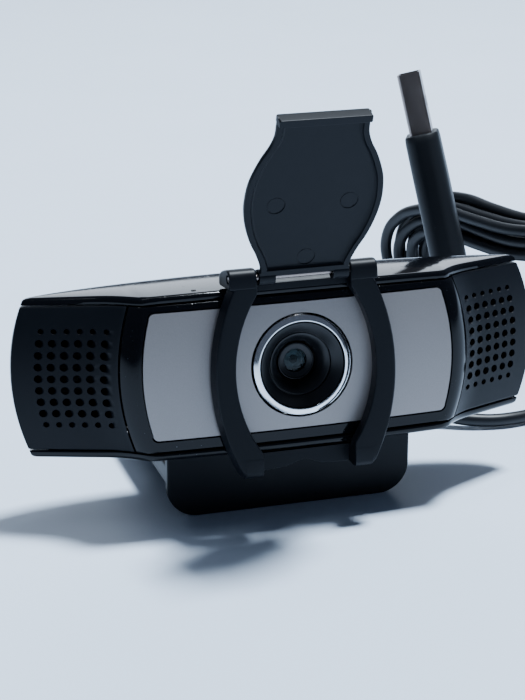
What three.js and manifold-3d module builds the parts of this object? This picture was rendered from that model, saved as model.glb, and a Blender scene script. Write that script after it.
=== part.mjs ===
// A desktop webcam: a wide, low camera body with a flip-up privacy shutter clipped over
// its lens, standing on its folded monitor clip, with its USB cable wound into a hank.
// Millimetres. +X is to the right seen from the front, -Y is the way the lens looks,
// +Z is up, and Z = 0 is the surface that the clip stands on.

import * as THREE from 'three';
import { mergeVertices } from 'three/addons/utils/BufferGeometryUtils.js';
import Module from 'manifold-3d';

const wasm = await Module();
wasm.setup();

// ---------------------------------------------------------------- driving dimensions

const GAP = 0.3; // clearance between pieces that touch
const DEG = Math.PI / 180;

// placing: the camera frame has its origin at the lens, on the front face
const LENS_HEIGHT = 28.1;
const LENS_Y = -21.75; // puts the origin under the middle of the object
const BODY_TILT = 7.2 * DEG; // the camera looks up a little

// camera body
const TOP_Z = 13.8;
const BOTTOM_Z = -14.4;
const TIP_U = 44.2; // half width at the top and bottom edges
const BULGE = 2.9; // how much wider the body is at mid height
const TIP_Y = 12.7;
const BACK_Y = 22.5;
const WALL = 1.6;
const COVER = 1.3; // thickness of the glossy top and bottom covers
const DIVIDER_U = 27.75; // where the bezel ends and a grille starts
const SEAM_BEHIND = 3.2; // how far a grille cap reaches back at its tip

// front trim and lens
const PLATE_HALF_U = 24.3;
const PLATE_HALF_Z = 10.75;
const PLATE_THICK = 0.55;
const LENS_OPENING = 8.95;
const RING_OUT = 8.6;
const RING_IN = 7.5;
const BARREL_R = 3.2;
const FOCUS_BORE = 3.55;

// grille holes
const HOLE_COLUMNS = 6;
const HOLE_ROWS = 9;
const HOLE_PITCH = 2.0;
const HOLE_FIRST_U = 30.0;
const HOLE_MID_Z = -0.3;
const HOLE_R = 0.55;
const HOLE_R_SMALL = 0.36;

// shutter
const SHUTTER_FRONT = -2.7;
const SHUTTER_BACK = -0.35;
const ARM_INNER = 12.25;
const ARM_OUTER = 16.1;
const HINGE_Y = -1.7;
const HINGE_Z = 15.9;
const CLAW_R = 1.55;
const CLAW_X = [8.1, 12.9];
const PIN_R = 0.5;
const PIN_HOLE_R = 0.8;
const FLAP_LEAN = 26.2 * DEG; // open flap, forward of the camera's own vertical
const FLAP_INNER = 1.0; // how far the face that meets the lens stands from the hinge axis
const FLAP_OUTER = 0.35;
const FLAP_PAN = 0.4; // floor of the recessed inner face
const FLAP_TIP = 31.0;

// clip
const CLIP_HALF_X = 22;
const CLIP_FRONT = 6.4; // this and every depth below is measured from the lens plane
const LIP_THICK = 2.0;
const LIP_TOP = 11.8;
const LIP_CORNER = 5.4;
const ARM_BOTTOM = 5.9;
const ARM_TOP = 9.6;
const LEG_AXIS = [52, 5.0];
const LEG_KNUCKLE = 3.5;
const LEG_TOP = 4.9;
const LEG_BOTTOM = 0.9;
const FOOT_AXIS = [13.2, 1.85];
const TILT_AXIS = [11.3, 7.4];
const BARREL_HALF_X = 8.3;
const SLOT_HALF_X = 9.3;

// cable
const CORD_R = 1.25;
const HANK_OUTER_R = 15.7;
const HANK_RUN = 52;
const HANK_BUNDLE = 8;
const HANK_FAR = [63.8, 88.2]; // far end centre, from the lens plane
const HANK_DIR = [Math.cos(63 * DEG), -Math.sin(63 * DEG)];
const TIE_AT = 37; // along the straight part of the hank
const GLAND = { x: 24, y: 21.6, z: -3, length: 7 }; // camera frame

// plug, standing in front of the hank on its stiff lead, leaning left and back
const PLUG_FOOT = [52.9, 64.59, 21.9];
const PLUG_AXIS = [-0.1597, 0.2395, 0.9577];
const PLUG_FLAT_SIDE = [0.9095, -0.3414, 0.2371];
const PLUG_GRIP = 28;
const PLUG_SHELL = 12.3;

// ---------------------------------------------------------------- materials

const finish = (color, roughness, metalness = 0) =>
  new THREE.MeshStandardMaterial({ color, roughness, metalness });

const GLOSS = finish(0x0d0f13, 0.12);
const SATIN = finish(0x15181d, 0.45);
const MATTE = finish(0x1b2027, 0.62);
const SILVER = finish(0x8f9096, 0.38, 0.6);
const CHROME = finish(0xd8dade, 0.1, 1);
const STEEL = finish(0x8b8f94, 0.3, 1);
const BRASS = finish(0xb08d4f, 0.35, 1);
const RUBBER = finish(0x16171a, 0.85);
const GLASS = finish(0x1a2730, 0.05);
const BOARD = finish(0x1f5a3a, 0.5);
const CHIP = finish(0x141414, 0.4);
const CABLE = finish(0x17191d, 0.55);
const LIGHT_PIPE = finish(0xe8eef2, 0.2);

// ---------------------------------------------------------------- solids

// A closed geometry as a solid that can be joined and cut.
function solid(geometry) {
  const bare = geometry.index ? geometry.clone() : geometry;
  bare.deleteAttribute('normal');
  bare.deleteAttribute('uv');
  const merged = mergeVertices(bare, 1e-4);
  return new wasm.Manifold(new wasm.Mesh({
    numProp: 3,
    vertProperties: new Float32Array(merged.attributes.position.array),
    triVerts: new Uint32Array(merged.index.array),
  }));
}

function geometryOf(body) {
  const mesh = body.getMesh();
  const geometry = new THREE.BufferGeometry();
  geometry.setAttribute('position', new THREE.BufferAttribute(new Float32Array(mesh.vertProperties), 3));
  geometry.setIndex(new THREE.BufferAttribute(new Uint32Array(mesh.triVerts), 1));
  geometry.computeVertexNormals();
  return geometry;
}

const joined = (first, ...rest) => rest.reduce((sum, next) => sum.add(next), first);
const cut = (first, ...rest) => rest.reduce((left, next) => left.subtract(next), first);

function box(x0, x1, y0, y1, z0, z1) {
  const geometry = new THREE.BoxGeometry(x1 - x0, y1 - y0, z1 - z0);
  return solid(geometry.translate((x0 + x1) / 2, (y0 + y1) / 2, (z0 + z1) / 2));
}

function cylinder(axis, radius, from, to, a, b, sides = 16) {
  const geometry = new THREE.CylinderGeometry(radius, radius, to - from, sides);
  const middle = (from + to) / 2;
  if (axis === 'x') geometry.rotateZ(Math.PI / 2).translate(middle, a, b);
  if (axis === 'y') geometry.translate(a, middle, b);
  if (axis === 'z') geometry.rotateX(Math.PI / 2).translate(a, b, middle);
  return solid(geometry);
}

// A shape drawn in X and Z, given thickness along Y.
function slab(shape, y0, y1, curveSegments = 8) {
  const geometry = new THREE.ExtrudeGeometry(shape, { depth: y1 - y0, bevelEnabled: false, curveSegments });
  return solid(geometry.rotateX(Math.PI / 2).translate(0, y1, 0));
}

// A shape drawn in X and Y, given height along Z.
function plate(shape, z0, z1, curveSegments = 6) {
  const geometry = new THREE.ExtrudeGeometry(shape, { depth: z1 - z0, bevelEnabled: false, curveSegments });
  return solid(geometry.translate(0, 0, z0));
}

// A shape drawn in Y and Z, given width along X.
function rib(shape, x0, x1, curveSegments = 8) {
  const geometry = new THREE.ExtrudeGeometry(shape, { depth: x1 - x0, bevelEnabled: false, curveSegments });
  const turn = new THREE.Matrix4().makeBasis(
    new THREE.Vector3(0, 1, 0),
    new THREE.Vector3(0, 0, 1),
    new THREE.Vector3(1, 0, 0),
  );
  return solid(geometry.applyMatrix4(turn).translate(x0, 0, 0));
}

// A profile of [radius, y] turned about the lens axis.
function turned(profile, sides = 28) {
  const points = profile.map(([r, y]) => new THREE.Vector2(r, -y));
  const closed = profile[0][0] > 0;
  if (closed) points.push(points[0].clone());
  const geometry = new THREE.LatheGeometry(points, sides);
  let body = solid(geometry.scale(1, -1, 1));
  if (body.volume() < 0 || body.status() !== 'NoError') {
    body = solid(new THREE.LatheGeometry(points.reverse(), sides).scale(1, -1, 1));
  }
  return body;
}

function roundedShape(x0, x1, y0, y1, r) {
  const shape = new THREE.Shape();
  shape.moveTo(x0 + r, y0);
  shape.lineTo(x1 - r, y0);
  shape.absarc(x1 - r, y0 + r, r, -Math.PI / 2, 0, false);
  shape.lineTo(x1, y1 - r);
  shape.absarc(x1 - r, y1 - r, r, 0, Math.PI / 2, false);
  shape.lineTo(x0 + r, y1);
  shape.absarc(x0 + r, y1 - r, r, Math.PI / 2, Math.PI, false);
  shape.lineTo(x0, y0 + r);
  shape.absarc(x0 + r, y0 + r, r, Math.PI, 1.5 * Math.PI, false);
  return shape;
}

function polygon(points) {
  const shape = new THREE.Shape();
  shape.moveTo(...points[0]);
  for (const point of points.slice(1)) shape.lineTo(...point);
  return shape;
}

// ---------------------------------------------------------------- camera body surface

// The body is a stack of plan outlines. u runs across it, and every outline is wider at
// mid height than at the top and bottom edges.
const MID_Z = (TOP_Z + BOTTOM_Z) / 2;
const heightRatio = (z) => (z - MID_Z) / (TOP_Z - MID_Z);
const spread = (u, z) => u + Math.sign(u) * BULGE * (1 - heightRatio(z) ** 2) * Math.min(1, Math.abs(u) / PLATE_HALF_U) ** 2;

// Depth of the front surface: a slightly crowned bezel, a bevel, a hollow and a straight cap.
function frontDepth(u) {
  const a = Math.abs(u);
  if (a <= 26) return 1.1 * (a / 26) ** 2;
  if (a <= DIVIDER_U) return 1.1 + 1.8 * ((a - 26) / (DIVIDER_U - 26)) ** 1.3;
  if (a >= 32.5) return TIP_Y - 0.5 * (TIP_U - a);
  const s = (a - DIVIDER_U) / (32.5 - DIVIDER_U);
  const end = TIP_Y - 0.5 * (TIP_U - 32.5);
  const slopeIn = 1.15 * (32.5 - DIVIDER_U);
  const slopeOut = 0.5 * (32.5 - DIVIDER_U);
  return (2 * s ** 3 - 3 * s ** 2 + 1) * 2.9 + (s ** 3 - 2 * s ** 2 + s) * slopeIn
    + (3 * s ** 2 - 2 * s ** 3) * end + (s ** 3 - s ** 2) * slopeOut;
}

function backDepth(u, z) {
  const across = Math.sqrt(Math.max(0, 1 - (Math.abs(u) / TIP_U) ** 3));
  const round = 0.41 + 0.59 * Math.sqrt(Math.max(0, 1 - Math.abs(heightRatio(z)) ** 3.4));
  return TIP_Y + 0.6 + (BACK_Y - TIP_Y - 0.6) * across * round;
}

// The top surface falls a little towards the tips.
const droop = (u, z) => z - 0.75 * (u / TIP_U) ** 2 * Math.max(0, z / TOP_Z) ** 2;

const FRONT_STEPS = [0, 7, 14, 20, 25.2, 26.2, 27.2, 28.6, 30.2, 32.5, 36, 40, 43];
const BACK_STEPS = [43, 40, 34, 26, 17, 8];

function bodyOutline(z, inset) {
  const reach = TIP_U - 2.2 * inset;
  const scale = reach / TIP_U;
  const crown = 0.6 * heightRatio(z) ** 2;
  const front = [...FRONT_STEPS, TIP_U].map((u) => [u * scale, frontDepth(u * scale) + crown + inset]);
  const back = BACK_STEPS.map((u) => [u * scale, backDepth(u * scale, z) - inset]);
  const tip = [reach, backDepth(reach, z) + crown - inset];
  const half = [...front, ...(inset > 0.3 ? [tip] : []), ...back, [0, backDepth(0, z) - inset]];
  const other = half.slice(1, -1).reverse().map(([u, y]) => [-u, y]);
  return [...half, ...other].map(([u, y]) => [spread(u, z), y, droop(u, z)]);
}

function bodyStack(z0, z1, inset, steps) {
  const levels = Array.from({ length: steps + 1 }, (_, i) => z0 + ((z1 - z0) * i) / steps);
  const rings = levels.map((z) => bodyOutline(z, inset));
  const count = rings[0].length;
  const positions = rings.flat(2);
  const indices = [];
  for (let level = 0; level < steps; level += 1) {
    for (let i = 0; i < count; i += 1) {
      const a = level * count + i;
      const b = level * count + ((i + 1) % count);
      indices.push(a, b, b + count, a, b + count, a + count);
    }
  }
  const flat = rings[0].map(([x, y]) => new THREE.Vector2(x, y));
  const topFlat = rings[steps].map(([x, y]) => new THREE.Vector2(x, y));
  for (const [a, b, c] of THREE.ShapeUtils.triangulateShape(flat, [])) indices.push(a, c, b);
  const top = steps * count;
  for (const [a, b, c] of THREE.ShapeUtils.triangulateShape(topFlat, [])) indices.push(top + a, top + b, top + c);
  const geometry = new THREE.BufferGeometry();
  geometry.setAttribute('position', new THREE.Float32BufferAttribute(positions, 3));
  geometry.setIndex(indices);
  return solid(geometry);
}

// An outline in X and Z whose sides bow outwards like the body's dividing curves.
function bowedShape(u, z0, z1) {
  const steps = 8;
  const side = Array.from({ length: steps + 1 }, (_, i) => z0 + ((z1 - z0) * i) / steps);
  const right = side.map((z) => [spread(u, z), z]);
  const left = side.map((z) => [-spread(u, z), z]).reverse();
  return polygon([...right, ...left]);
}

// ---------------------------------------------------------------- camera housing pieces

function makeHousing() {
  const coverTopZ = TOP_Z - COVER;
  const coverBottomZ = BOTTOM_Z + COVER;
  const bandLow = coverBottomZ + GAP;
  const bandHigh = coverTopZ - GAP;
  const outer = bodyStack(bandLow, bandHigh, 0, 7);
  const inner = bodyStack(bandLow - 1, bandHigh + 1, WALL, 7);
  const band = outer.subtract(inner);

  const farX = 60;
  const seam = (x, extra) => TIP_Y - 0.5 * (TIP_U + BULGE - x) + SEAM_BEHIND + extra;
  const behind = plate(polygon([
    [-farX, seam(farX, GAP)], [-36, seam(36, GAP)], [-36, 14], [36, 14],
    [36, seam(36, GAP)], [farX, seam(farX, GAP)], [farX, 60], [-farX, 60],
  ]), -30, 30);
  const rear = band.intersect(behind);

  const bezelWindow = slab(bowedShape(DIVIDER_U, bandLow - 0.5, bandHigh + 0.5), -6, 5.5);
  const pocket = slab(bowedShape(PLATE_HALF_U + GAP, -PLATE_HALF_Z - GAP, PLATE_HALF_Z + GAP), -6, 6)
    .subtract(bodyStack(bandLow - 1, bandHigh + 1, PLATE_THICK + GAP, 7));
  const opening = cylinder('y', LENS_OPENING, -6, 8, 0, 0, 32);
  const bezel = cut(band.intersect(bezelWindow), pocket, opening);

  const thinSkin = outer.subtract(bodyStack(bandLow - 1, bandHigh + 1, PLATE_THICK, 7));
  const trim = slab(bowedShape(PLATE_HALF_U, -PLATE_HALF_Z, PLATE_HALF_Z), -6, 6);
  const silver = thinSkin.intersect(trim).subtract(opening);

  const ahead = plate(polygon([
    [-farX, -20], [farX, -20], [farX, seam(farX, 0)], [30, seam(30, 0)], [-30, seam(30, 0)], [-farX, seam(farX, 0)],
  ]), -30, 30);
  const sides = band.intersect(ahead).subtract(slab(bowedShape(DIVIDER_U + GAP, -20, 20), -20, 60));

  const pinhole = cylinder('z', 0.5, 5, 20, -17.4, 3.4, 6);
  const screwWell = (x) => cylinder('z', 1.6, -20, -10, x, 12, 12);
  const topCover = bodyStack(coverTopZ, TOP_Z, 0, 1).subtract(pinhole);
  const bottomCover = cut(bodyStack(BOTTOM_Z, coverBottomZ, 0, 1), screwWell(-24), screwWell(24));

  return {
    front_bezel: [bezel, GLOSS],
    silver_plate: [silver, SILVER],
    top_cover: [topCover, GLOSS],
    bottom_cover: [bottomCover, GLOSS],
    rear_housing: [rear.subtract(cylinder('y', 2.6, 15, 30, GLAND.x, GLAND.z, 12)), SATIN],
    grille_left: [perforated(sides.intersect(box(-60, 0, -20, 60, -30, 30)), -1), MATTE],
    grille_right: [perforated(sides.intersect(box(0, 60, -20, 60, -30, 30)), 1), MATTE],
  };
}

// The sound holes follow the cap's bowed sides, six columns by nine rows.
function perforated(cap, side) {
  let drilled = cap;
  for (let row = 0; row < HOLE_ROWS; row += 1) {
    const z = HOLE_MID_Z + (row - (HOLE_ROWS - 1) / 2) * HOLE_PITCH;
    const radius = row === 0 || row === HOLE_ROWS - 1 ? HOLE_R_SMALL : HOLE_R;
    for (let column = 0; column < HOLE_COLUMNS; column += 1) {
      const u = HOLE_FIRST_U + column * HOLE_PITCH;
      const x = side * spread(u, z);
      drilled = drilled.subtract(cylinder('y', radius, frontDepth(u) - 3, frontDepth(u) + 5.5, x, z, 5));
    }
  }
  return drilled;
}

// ---------------------------------------------------------------- lens and electronics

function makeOptics() {
  const ring = turned([[RING_OUT, 0.1], [RING_OUT, 1.3], [7.8, 1.3], [RING_IN, -0.05], [RING_IN + 0.12, -0.25]], 36);
  const tunnel = turned([
    [7.15, -0.1], [5.5, 1.3], [5.5, 1.7], [5.15, 1.7], [5.1, 1.45], [BARREL_R + GAP, 3.3],
    [BARREL_R + GAP, 4.0], [8.4, 4.0], [8.4, 1.6], [7.5, 1.6],
  ], 32);
  const barrel = turned([[2.35, 3.55], [2.35, 9.3], [BARREL_R, 9.3], [BARREL_R, 3.75], [3.0, 3.55]], 24);
  const frontGlass = turned([[0, 3.9], [1.1, 4.02], [2.05, 4.5], [2.05, 5.1], [0, 5.1]], 20);
  const rearGlass = turned([[0, 7.0], [2.05, 7.0], [2.05, 8.3], [1.0, 8.65], [0, 8.75]], 16);
  const actuator = box(-5, 5, 4.4, 9.2, -5, 5).subtract(cylinder('y', FOCUS_BORE, 3, 11, 0, 0, 20));
  const holder = box(-6, 6, 9.6, 11.0, -6, 6).subtract(cylinder('y', 3.0, 9, 12, 0, 0, 12));
  return {
    lens_ring: [ring, CHROME],
    lens_tunnel: [tunnel, SATIN],
    lens_barrel: [barrel, SATIN],
    front_lens: [frontGlass, GLASS],
    rear_lens: [rearGlass, GLASS],
    focus_actuator: [actuator, STEEL],
    lens_holder: [holder, SATIN],
    image_sensor: [box(-3.5, 3.5, 11.3, 12.1, -2.8, 2.8), CHIP],
    sensor_board: [box(-12, 12, 12.4, 13.2, -8.5, 8.5), BOARD],
    main_board: [box(-27, 27, 15.4, 16.4, -7.5, 7.5), BOARD],
    video_processor: [box(-16, -7, 14.1, 15.1, -4.5, 4.5), CHIP],
    heat_spreader: [box(-20, 14, 16.7, 17.5, -6.5, 6.5), STEEL],
    cable_header: [box(17, 24, 16.7, 19.2, -2.5, 2.5), LIGHT_PIPE],
    indicator_light: [cylinder('z', 0.9, 9.0, 12.1, -17.4, 3.4, 8), LIGHT_PIPE],
    ...makeMicrophone('left', -1),
    ...makeMicrophone('right', 1),
    housing_screw_left: [makeScrew(-24), STEEL],
    housing_screw_right: [makeScrew(24), STEEL],
  };
}

function makeMicrophone(name, side) {
  const x = side * 37;
  const capsule = cylinder('y', 2.6, 12.4, 15.0, x, 0, 16);
  const gasket = cylinder('y', 3.9, 12.0, 14.4, x, 0, 16).subtract(cylinder('y', 2.9, 11, 16, x, 0, 16));
  return { [`microphone_${name}`]: [capsule, STEEL], [`microphone_gasket_${name}`]: [gasket, RUBBER] };
}

function makeScrew(x) {
  const head = cylinder('z', 1.25, -14.2, -13.3, x, 12, 12);
  return head.add(cylinder('z', 0.7, -13.4, -9.5, x, 12, 8));
}

// The tapered strain relief where the cable leaves the housing.
function makeGland() {
  const geometry = new THREE.LatheGeometry([
    new THREE.Vector2(0, -2.2), new THREE.Vector2(2.3, -2.2), new THREE.Vector2(2.3, 0.8),
    new THREE.Vector2(2.75, 1.0), new THREE.Vector2(2.6, 2.4), new THREE.Vector2(1.75, GLAND.length),
    new THREE.Vector2(0, GLAND.length),
  ], 12);
  return solid(geometry.translate(GLAND.x, GLAND.y, GLAND.z));
}

// ---------------------------------------------------------------- privacy shutter

// One crescent arm, seen from the front: two arcs between the top and bottom claws.
function armShape(side) {
  const shape = new THREE.Shape();
  const steps = 10;
  const outerAt = (z) => ARM_OUTER - 35 + Math.sqrt(35 ** 2 - (z + 1) ** 2);
  const innerAt = (z) => Math.max(CLAW_X[0], ARM_INNER - 24 + Math.sqrt(24 ** 2 - Math.min(23, Math.abs(z + 0.3)) ** 2));
  const low = -17.9;
  const high = 15.6;
  const levels = Array.from({ length: steps + 1 }, (_, i) => low + ((high - low) * i) / steps);
  const outline = [
    ...levels.map((z) => [side * outerAt(z), z]),
    ...levels.map((z) => [side * innerAt(z), z]).reverse(),
  ];
  shape.setFromPoints(outline.map(([x, z]) => new THREE.Vector2(x, z)));
  return shape;
}

function makeShutterFrame() {
  const claws = [-1, 1].map((side) => {
    const arm = slab(armShape(side), SHUTTER_FRONT, SHUTTER_BACK);
    const [x0, x1] = side > 0 ? CLAW_X : [-CLAW_X[1], -CLAW_X[0]];
    const knuckle = cylinder('x', CLAW_R, x0, x1, HINGE_Y, HINGE_Z, 16);
    const overTop = rib(polygon([
      [SHUTTER_FRONT, 14.1], [3.6, 14.1], [3.9, 14.5], [3.7, 16.0], [2.6, 16.7], [-1.2, HINGE_Z + CLAW_R], [SHUTTER_FRONT, HINGE_Z],
    ]), x0, x1);
    const inward = side > 0 ? [CLAW_X[0], 11.3] : [-11.3, -CLAW_X[0]];
    const underside = rib(polygon([
      [SHUTTER_FRONT, -14.72], [SHUTTER_FRONT, -17.4], [-2.1, -18.1], [2.6, -17.6], [3.4, -16.6], [3.4, -14.72],
    ]), ...inward);
    return joined(arm, knuckle, overTop, underside);
  });
  const bridge = rib(polygon([
    [-0.38, 13.35], [0.2, 13.35], [0.2, 14.1], [3.7, 14.1], [3.7, 15.5], [0.8, 15.6], [0.1, 14.75], [-0.38, 14.5],
  ]), -CLAW_X[0] - 0.2, CLAW_X[0] + 0.2);
  const under = rib(polygon([[0.95, -14.72], [3.3, -14.72], [3.3, -16.0], [0.95, -16.0]]), -CLAW_X[0] - 0.2, CLAW_X[0] + 0.2);
  const pullTab = slab(tabShape(), 0.95, 2.3, 6);
  const drilled = cylinder('x', PIN_HOLE_R, -20, 20, HINGE_Y, HINGE_Z, 10);
  return cut(joined(claws[0], claws[1], bridge, under, pullTab), drilled);
}

// The catch below the lens has a wavy lower edge with a finger notch in its middle.
function tabShape() {
  const shape = new THREE.Shape();
  const half = CLAW_X[0] + 0.1;
  shape.moveTo(-half, -15.2);
  shape.lineTo(half, -15.2);
  shape.lineTo(half, -17.7);
  shape.quadraticCurveTo(4.2, -17.5, 2.4, -17.2);
  shape.quadraticCurveTo(0, -15.9, -2.0, -17.2);
  shape.quadraticCurveTo(-4.2, -17.5, -half, -17.7);
  return shape;
}

// The flap's outline: a hinge neck, a round shield and a straight lip. s runs from the hinge.
function flapShape(inset) {
  const half = [
    [7.75, 0.6], [7.75, 2.4], [8.7, 5.0], [9.8, 7.4], [10.8, 10.4], [11.35, 13.4], [11.4, 16.0],
    [11.0, 19.2], [9.75, 22.8], [8.45, 25.4], [7.75, 27.2],
  ].map(([x, s]) => [x - inset, s]);
  const top = [7.75 - inset, FLAP_TIP - inset];
  const bottom = inset > 0 ? [[half[0][0], 1.9]] : [[half[0][0], 0.6]];
  const right = [...bottom, ...half.slice(1), top];
  return polygon([...right, ...right.map(([x, s]) => [-x, s]).reverse()]);
}

// Drawn standing up with its inner face to the front, then tipped about the hinge.
function makeFlap() {
  const shield = slab(flapShape(0), -FLAP_INNER, 0);
  const back = slab(flapShape(0.8), -0.1, FLAP_OUTER);
  const pan = slab(flapShape(1.35), -FLAP_INNER - 1, -FLAP_PAN).intersect(box(-20, 20, -9, 9, 1.9, FLAP_TIP - 2.2));
  const lip = slab(roundedShape(-7.7, 7.7, FLAP_TIP - 1.35, FLAP_TIP + 0.02, 0.3), -1.95, FLAP_OUTER - 0.05, 2);
  const ear = (x0, x1) => cylinder('x', 1.35, x0, x1, 0, 0, 14).add(box(x0, x1, -1, 0, 0, 1.4));
  const mark = (x, s) => cylinder('y', 1.55, -FLAP_PAN - 0.3, -FLAP_PAN + 0.2, x, s, 14);
  const gapBetween = box(-5, 5, -3, 3, -2, 1.3);
  const bore = cylinder('x', PIN_HOLE_R, -20, 20, 0, 0, 10);
  return cut(
    joined(cut(shield.add(back), pan, gapBetween), lip, ear(-7.75, -5), ear(5, 7.75), mark(-6.2, 14.2), mark(6.2, 14.2), mark(0, 3.4)),
    bore,
  );
}

// ---------------------------------------------------------------- monitor clip

function makeClip() {
  const [legY, legZ] = LEG_AXIS;
  const [footY, footZ] = FOOT_AXIS;
  const [tiltY, tiltZ] = TILT_AXIS;
  const front = CLIP_FRONT;
  const back = front + LIP_THICK;

  const lip = slab(lipShape(), front, back, 6);
  const deck = plate(roundedShape(-CLIP_HALF_X, CLIP_HALF_X, front, legY + 1, 1.2), ARM_BOTTOM, ARM_TOP, 3);
  const ear = (x0, x1) => cylinder('x', LEG_KNUCKLE, x0, x1, legY, legZ, 16);
  const arm = cut(
    joined(lip, deck, ear(-CLIP_HALF_X, -13.4), ear(13.4, CLIP_HALF_X)),
    box(-SLOT_HALF_X, SLOT_HALF_X, back + 0.1, tiltY + 3, 0, 20),
    box(-13.4, 13.4, legY - LEG_KNUCKLE - 0.7, 70, 0, 20),
    cylinder('x', 1.1, -30, 30, legY, legZ, 10),
    cylinder('x', 1.2, -16.5, 16.5, tiltY, tiltZ, 10),
  );

  const legRear = legY - LEG_KNUCKLE - 0.6;
  const leg = cut(
    joined(
      plate(roundedShape(-19, 19, 10.3, legRear, 2.5), 3.4, LEG_TOP, 4),
      box(-19, 19, 31.4, legRear, LEG_BOTTOM, 3.6),
      box(-13, 13, legRear - 2, legY, 1.7, LEG_TOP),
      cylinder('x', LEG_KNUCKLE - 0.1, -13, 13, legY, legZ, 16),
      box(-17, -12, footY - 1.2, footY + 1.2, footZ, 3.6),
      box(12, 17, footY - 1.2, footY + 1.2, footZ, 3.6),
      cylinder('x', 1.2, -17, -12, footY, footZ, 12),
      cylinder('x', 1.2, 12, 17, footY, footZ, 12),
    ),
    cylinder('x', 1.1, -30, 30, legY, legZ, 10),
    cylinder('x', 0.8, -30, 30, footY, footZ, 8),
    cylinder('z', 4.6, 0, 4.1, 0, 41, 20),
  );
  const insert = cylinder('z', 4.3, 1.0, 3.8, 0, 41, 20).subtract(cylinder('z', 3.0, 0, 5, 0, 41, 20));

  const foot = cut(
    joined(
      plate(roundedShape(-17, 17, footY + 2.6, 30.8, 2), LEG_BOTTOM, 2.6, 4),
      box(-11.6, 11.6, footY, footY + 4, LEG_BOTTOM + 0.1, 2.6),
      cylinder('x', 1.15, -11.6, 11.6, footY, footZ, 12),
    ),
    cylinder('x', 0.8, -30, 30, footY, footZ, 8),
  );

  const stem = joined(
    box(-BARREL_HALF_X, BARREL_HALF_X, tiltY - 2, tiltY + 2, tiltZ, 11.5),
    cylinder('x', 2.3, -BARREL_HALF_X, BARREL_HALF_X, tiltY, tiltZ, 16),
  ).subtract(cylinder('x', 1.2, -30, 30, tiltY, tiltZ, 10));
  const washer = (x0, x1) => cylinder('x', 2.1, x0, x1, tiltY, tiltZ, 16)
    .subtract(cylinder('x', 1.2, x0 - 1, x1 + 1, tiltY, tiltZ, 10));

  return {
    tilt_neck: [stem, SATIN],
    clip_arm: [arm, MATTE],
    lip_pad: [slab(roundedShape(-17, 17, 1.0, 4.8, 1), back + GAP, back + GAP + 0.9, 3), RUBBER],
    arm_pad: [plate(roundedShape(-17, 17, 20, 45, 1.5), 5.2, 5.6, 3), RUBBER],
    tilt_pin: [cylinder('x', 0.9, -16.2, 16.2, tiltY, tiltZ, 12), STEEL],
    friction_washer_left: [washer(-9.0, -8.6), BRASS],
    friction_washer_right: [washer(8.6, 9.0), BRASS],
    clip_leg: [leg, MATTE],
    leg_pin: [cylinder('x', 0.8, -21.5, 21.5, legY, legZ, 12), STEEL],
    tripod_insert: [insert, BRASS],
    leg_pad: [plate(roundedShape(-15, 15, 32.4, 35.6, 1), 0, 0.6, 3), RUBBER],
    clip_foot: [foot, MATTE],
    foot_pin: [cylinder('x', 0.5, -16.6, 16.6, footY, footZ, 8), STEEL],
    foot_pad: [plate(roundedShape(-15, 15, 17.4, 29.6, 1.5), 0, 0.6, 3), RUBBER],
  };
}

// The lip is a plate with large round lower corners.
function lipShape() {
  const shape = new THREE.Shape();
  shape.moveTo(-CLIP_HALF_X, LIP_TOP);
  shape.lineTo(-CLIP_HALF_X, LIP_CORNER);
  shape.absarc(-CLIP_HALF_X + LIP_CORNER, LIP_CORNER, LIP_CORNER, Math.PI, 1.5 * Math.PI, false);
  shape.lineTo(CLIP_HALF_X - LIP_CORNER, 0);
  shape.absarc(CLIP_HALF_X - LIP_CORNER, LIP_CORNER, LIP_CORNER, -Math.PI / 2, 0, false);
  shape.lineTo(CLIP_HALF_X, LIP_TOP);
  return shape;
}

// ---------------------------------------------------------------- cable, hank and plug

function tube(points, radius, steps, sides = 8) {
  const section = new THREE.Shape();
  for (let i = 0; i < sides; i += 1) {
    const angle = (2 * Math.PI * i) / sides;
    const corner = [radius * Math.cos(angle), radius * Math.sin(angle)];
    if (i === 0) section.moveTo(...corner);
    else section.lineTo(...corner);
  }
  const path = new THREE.CatmullRomCurve3(points.map((point) => new THREE.Vector3(...point)), false, 'centripetal');
  return solid(new THREE.ExtrudeGeometry(section, { steps, extrudePath: path, bevelEnabled: false }));
}

function hankLoop(r) {
  const shape = new THREE.Shape();
  const mid = HANK_OUTER_R;
  shape.moveTo(0, mid - r);
  shape.lineTo(HANK_RUN, mid - r);
  shape.absarc(HANK_RUN, mid, r, -Math.PI / 2, Math.PI / 2, false);
  shape.lineTo(0, mid + r);
  shape.absarc(0, mid, r, Math.PI / 2, 1.5 * Math.PI, false);
  return shape;
}

// From a shape drawn along and up the hank to the hank's place on the surface.
function intoHank(geometry) {
  const along = new THREE.Vector3(HANK_DIR[0], HANK_DIR[1], 0);
  const up = new THREE.Vector3(0, 0, 1);
  const turn = new THREE.Matrix4().makeBasis(along, up, new THREE.Vector3().crossVectors(along, up));
  turn.setPosition(HANK_FAR[0], HANK_FAR[1], 0);
  return solid(geometry.applyMatrix4(turn));
}

// The whole wound cable, standing on its long edge.
function makeHank() {
  const shape = hankLoop(HANK_OUTER_R);
  shape.holes.push(hankLoop(HANK_OUTER_R - HANK_BUNDLE));
  const geometry = new THREE.ExtrudeGeometry(shape, { depth: HANK_BUNDLE, bevelEnabled: false, curveSegments: 12 });
  return intoHank(geometry.translate(0, 0, -HANK_BUNDLE / 2));
}

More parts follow.
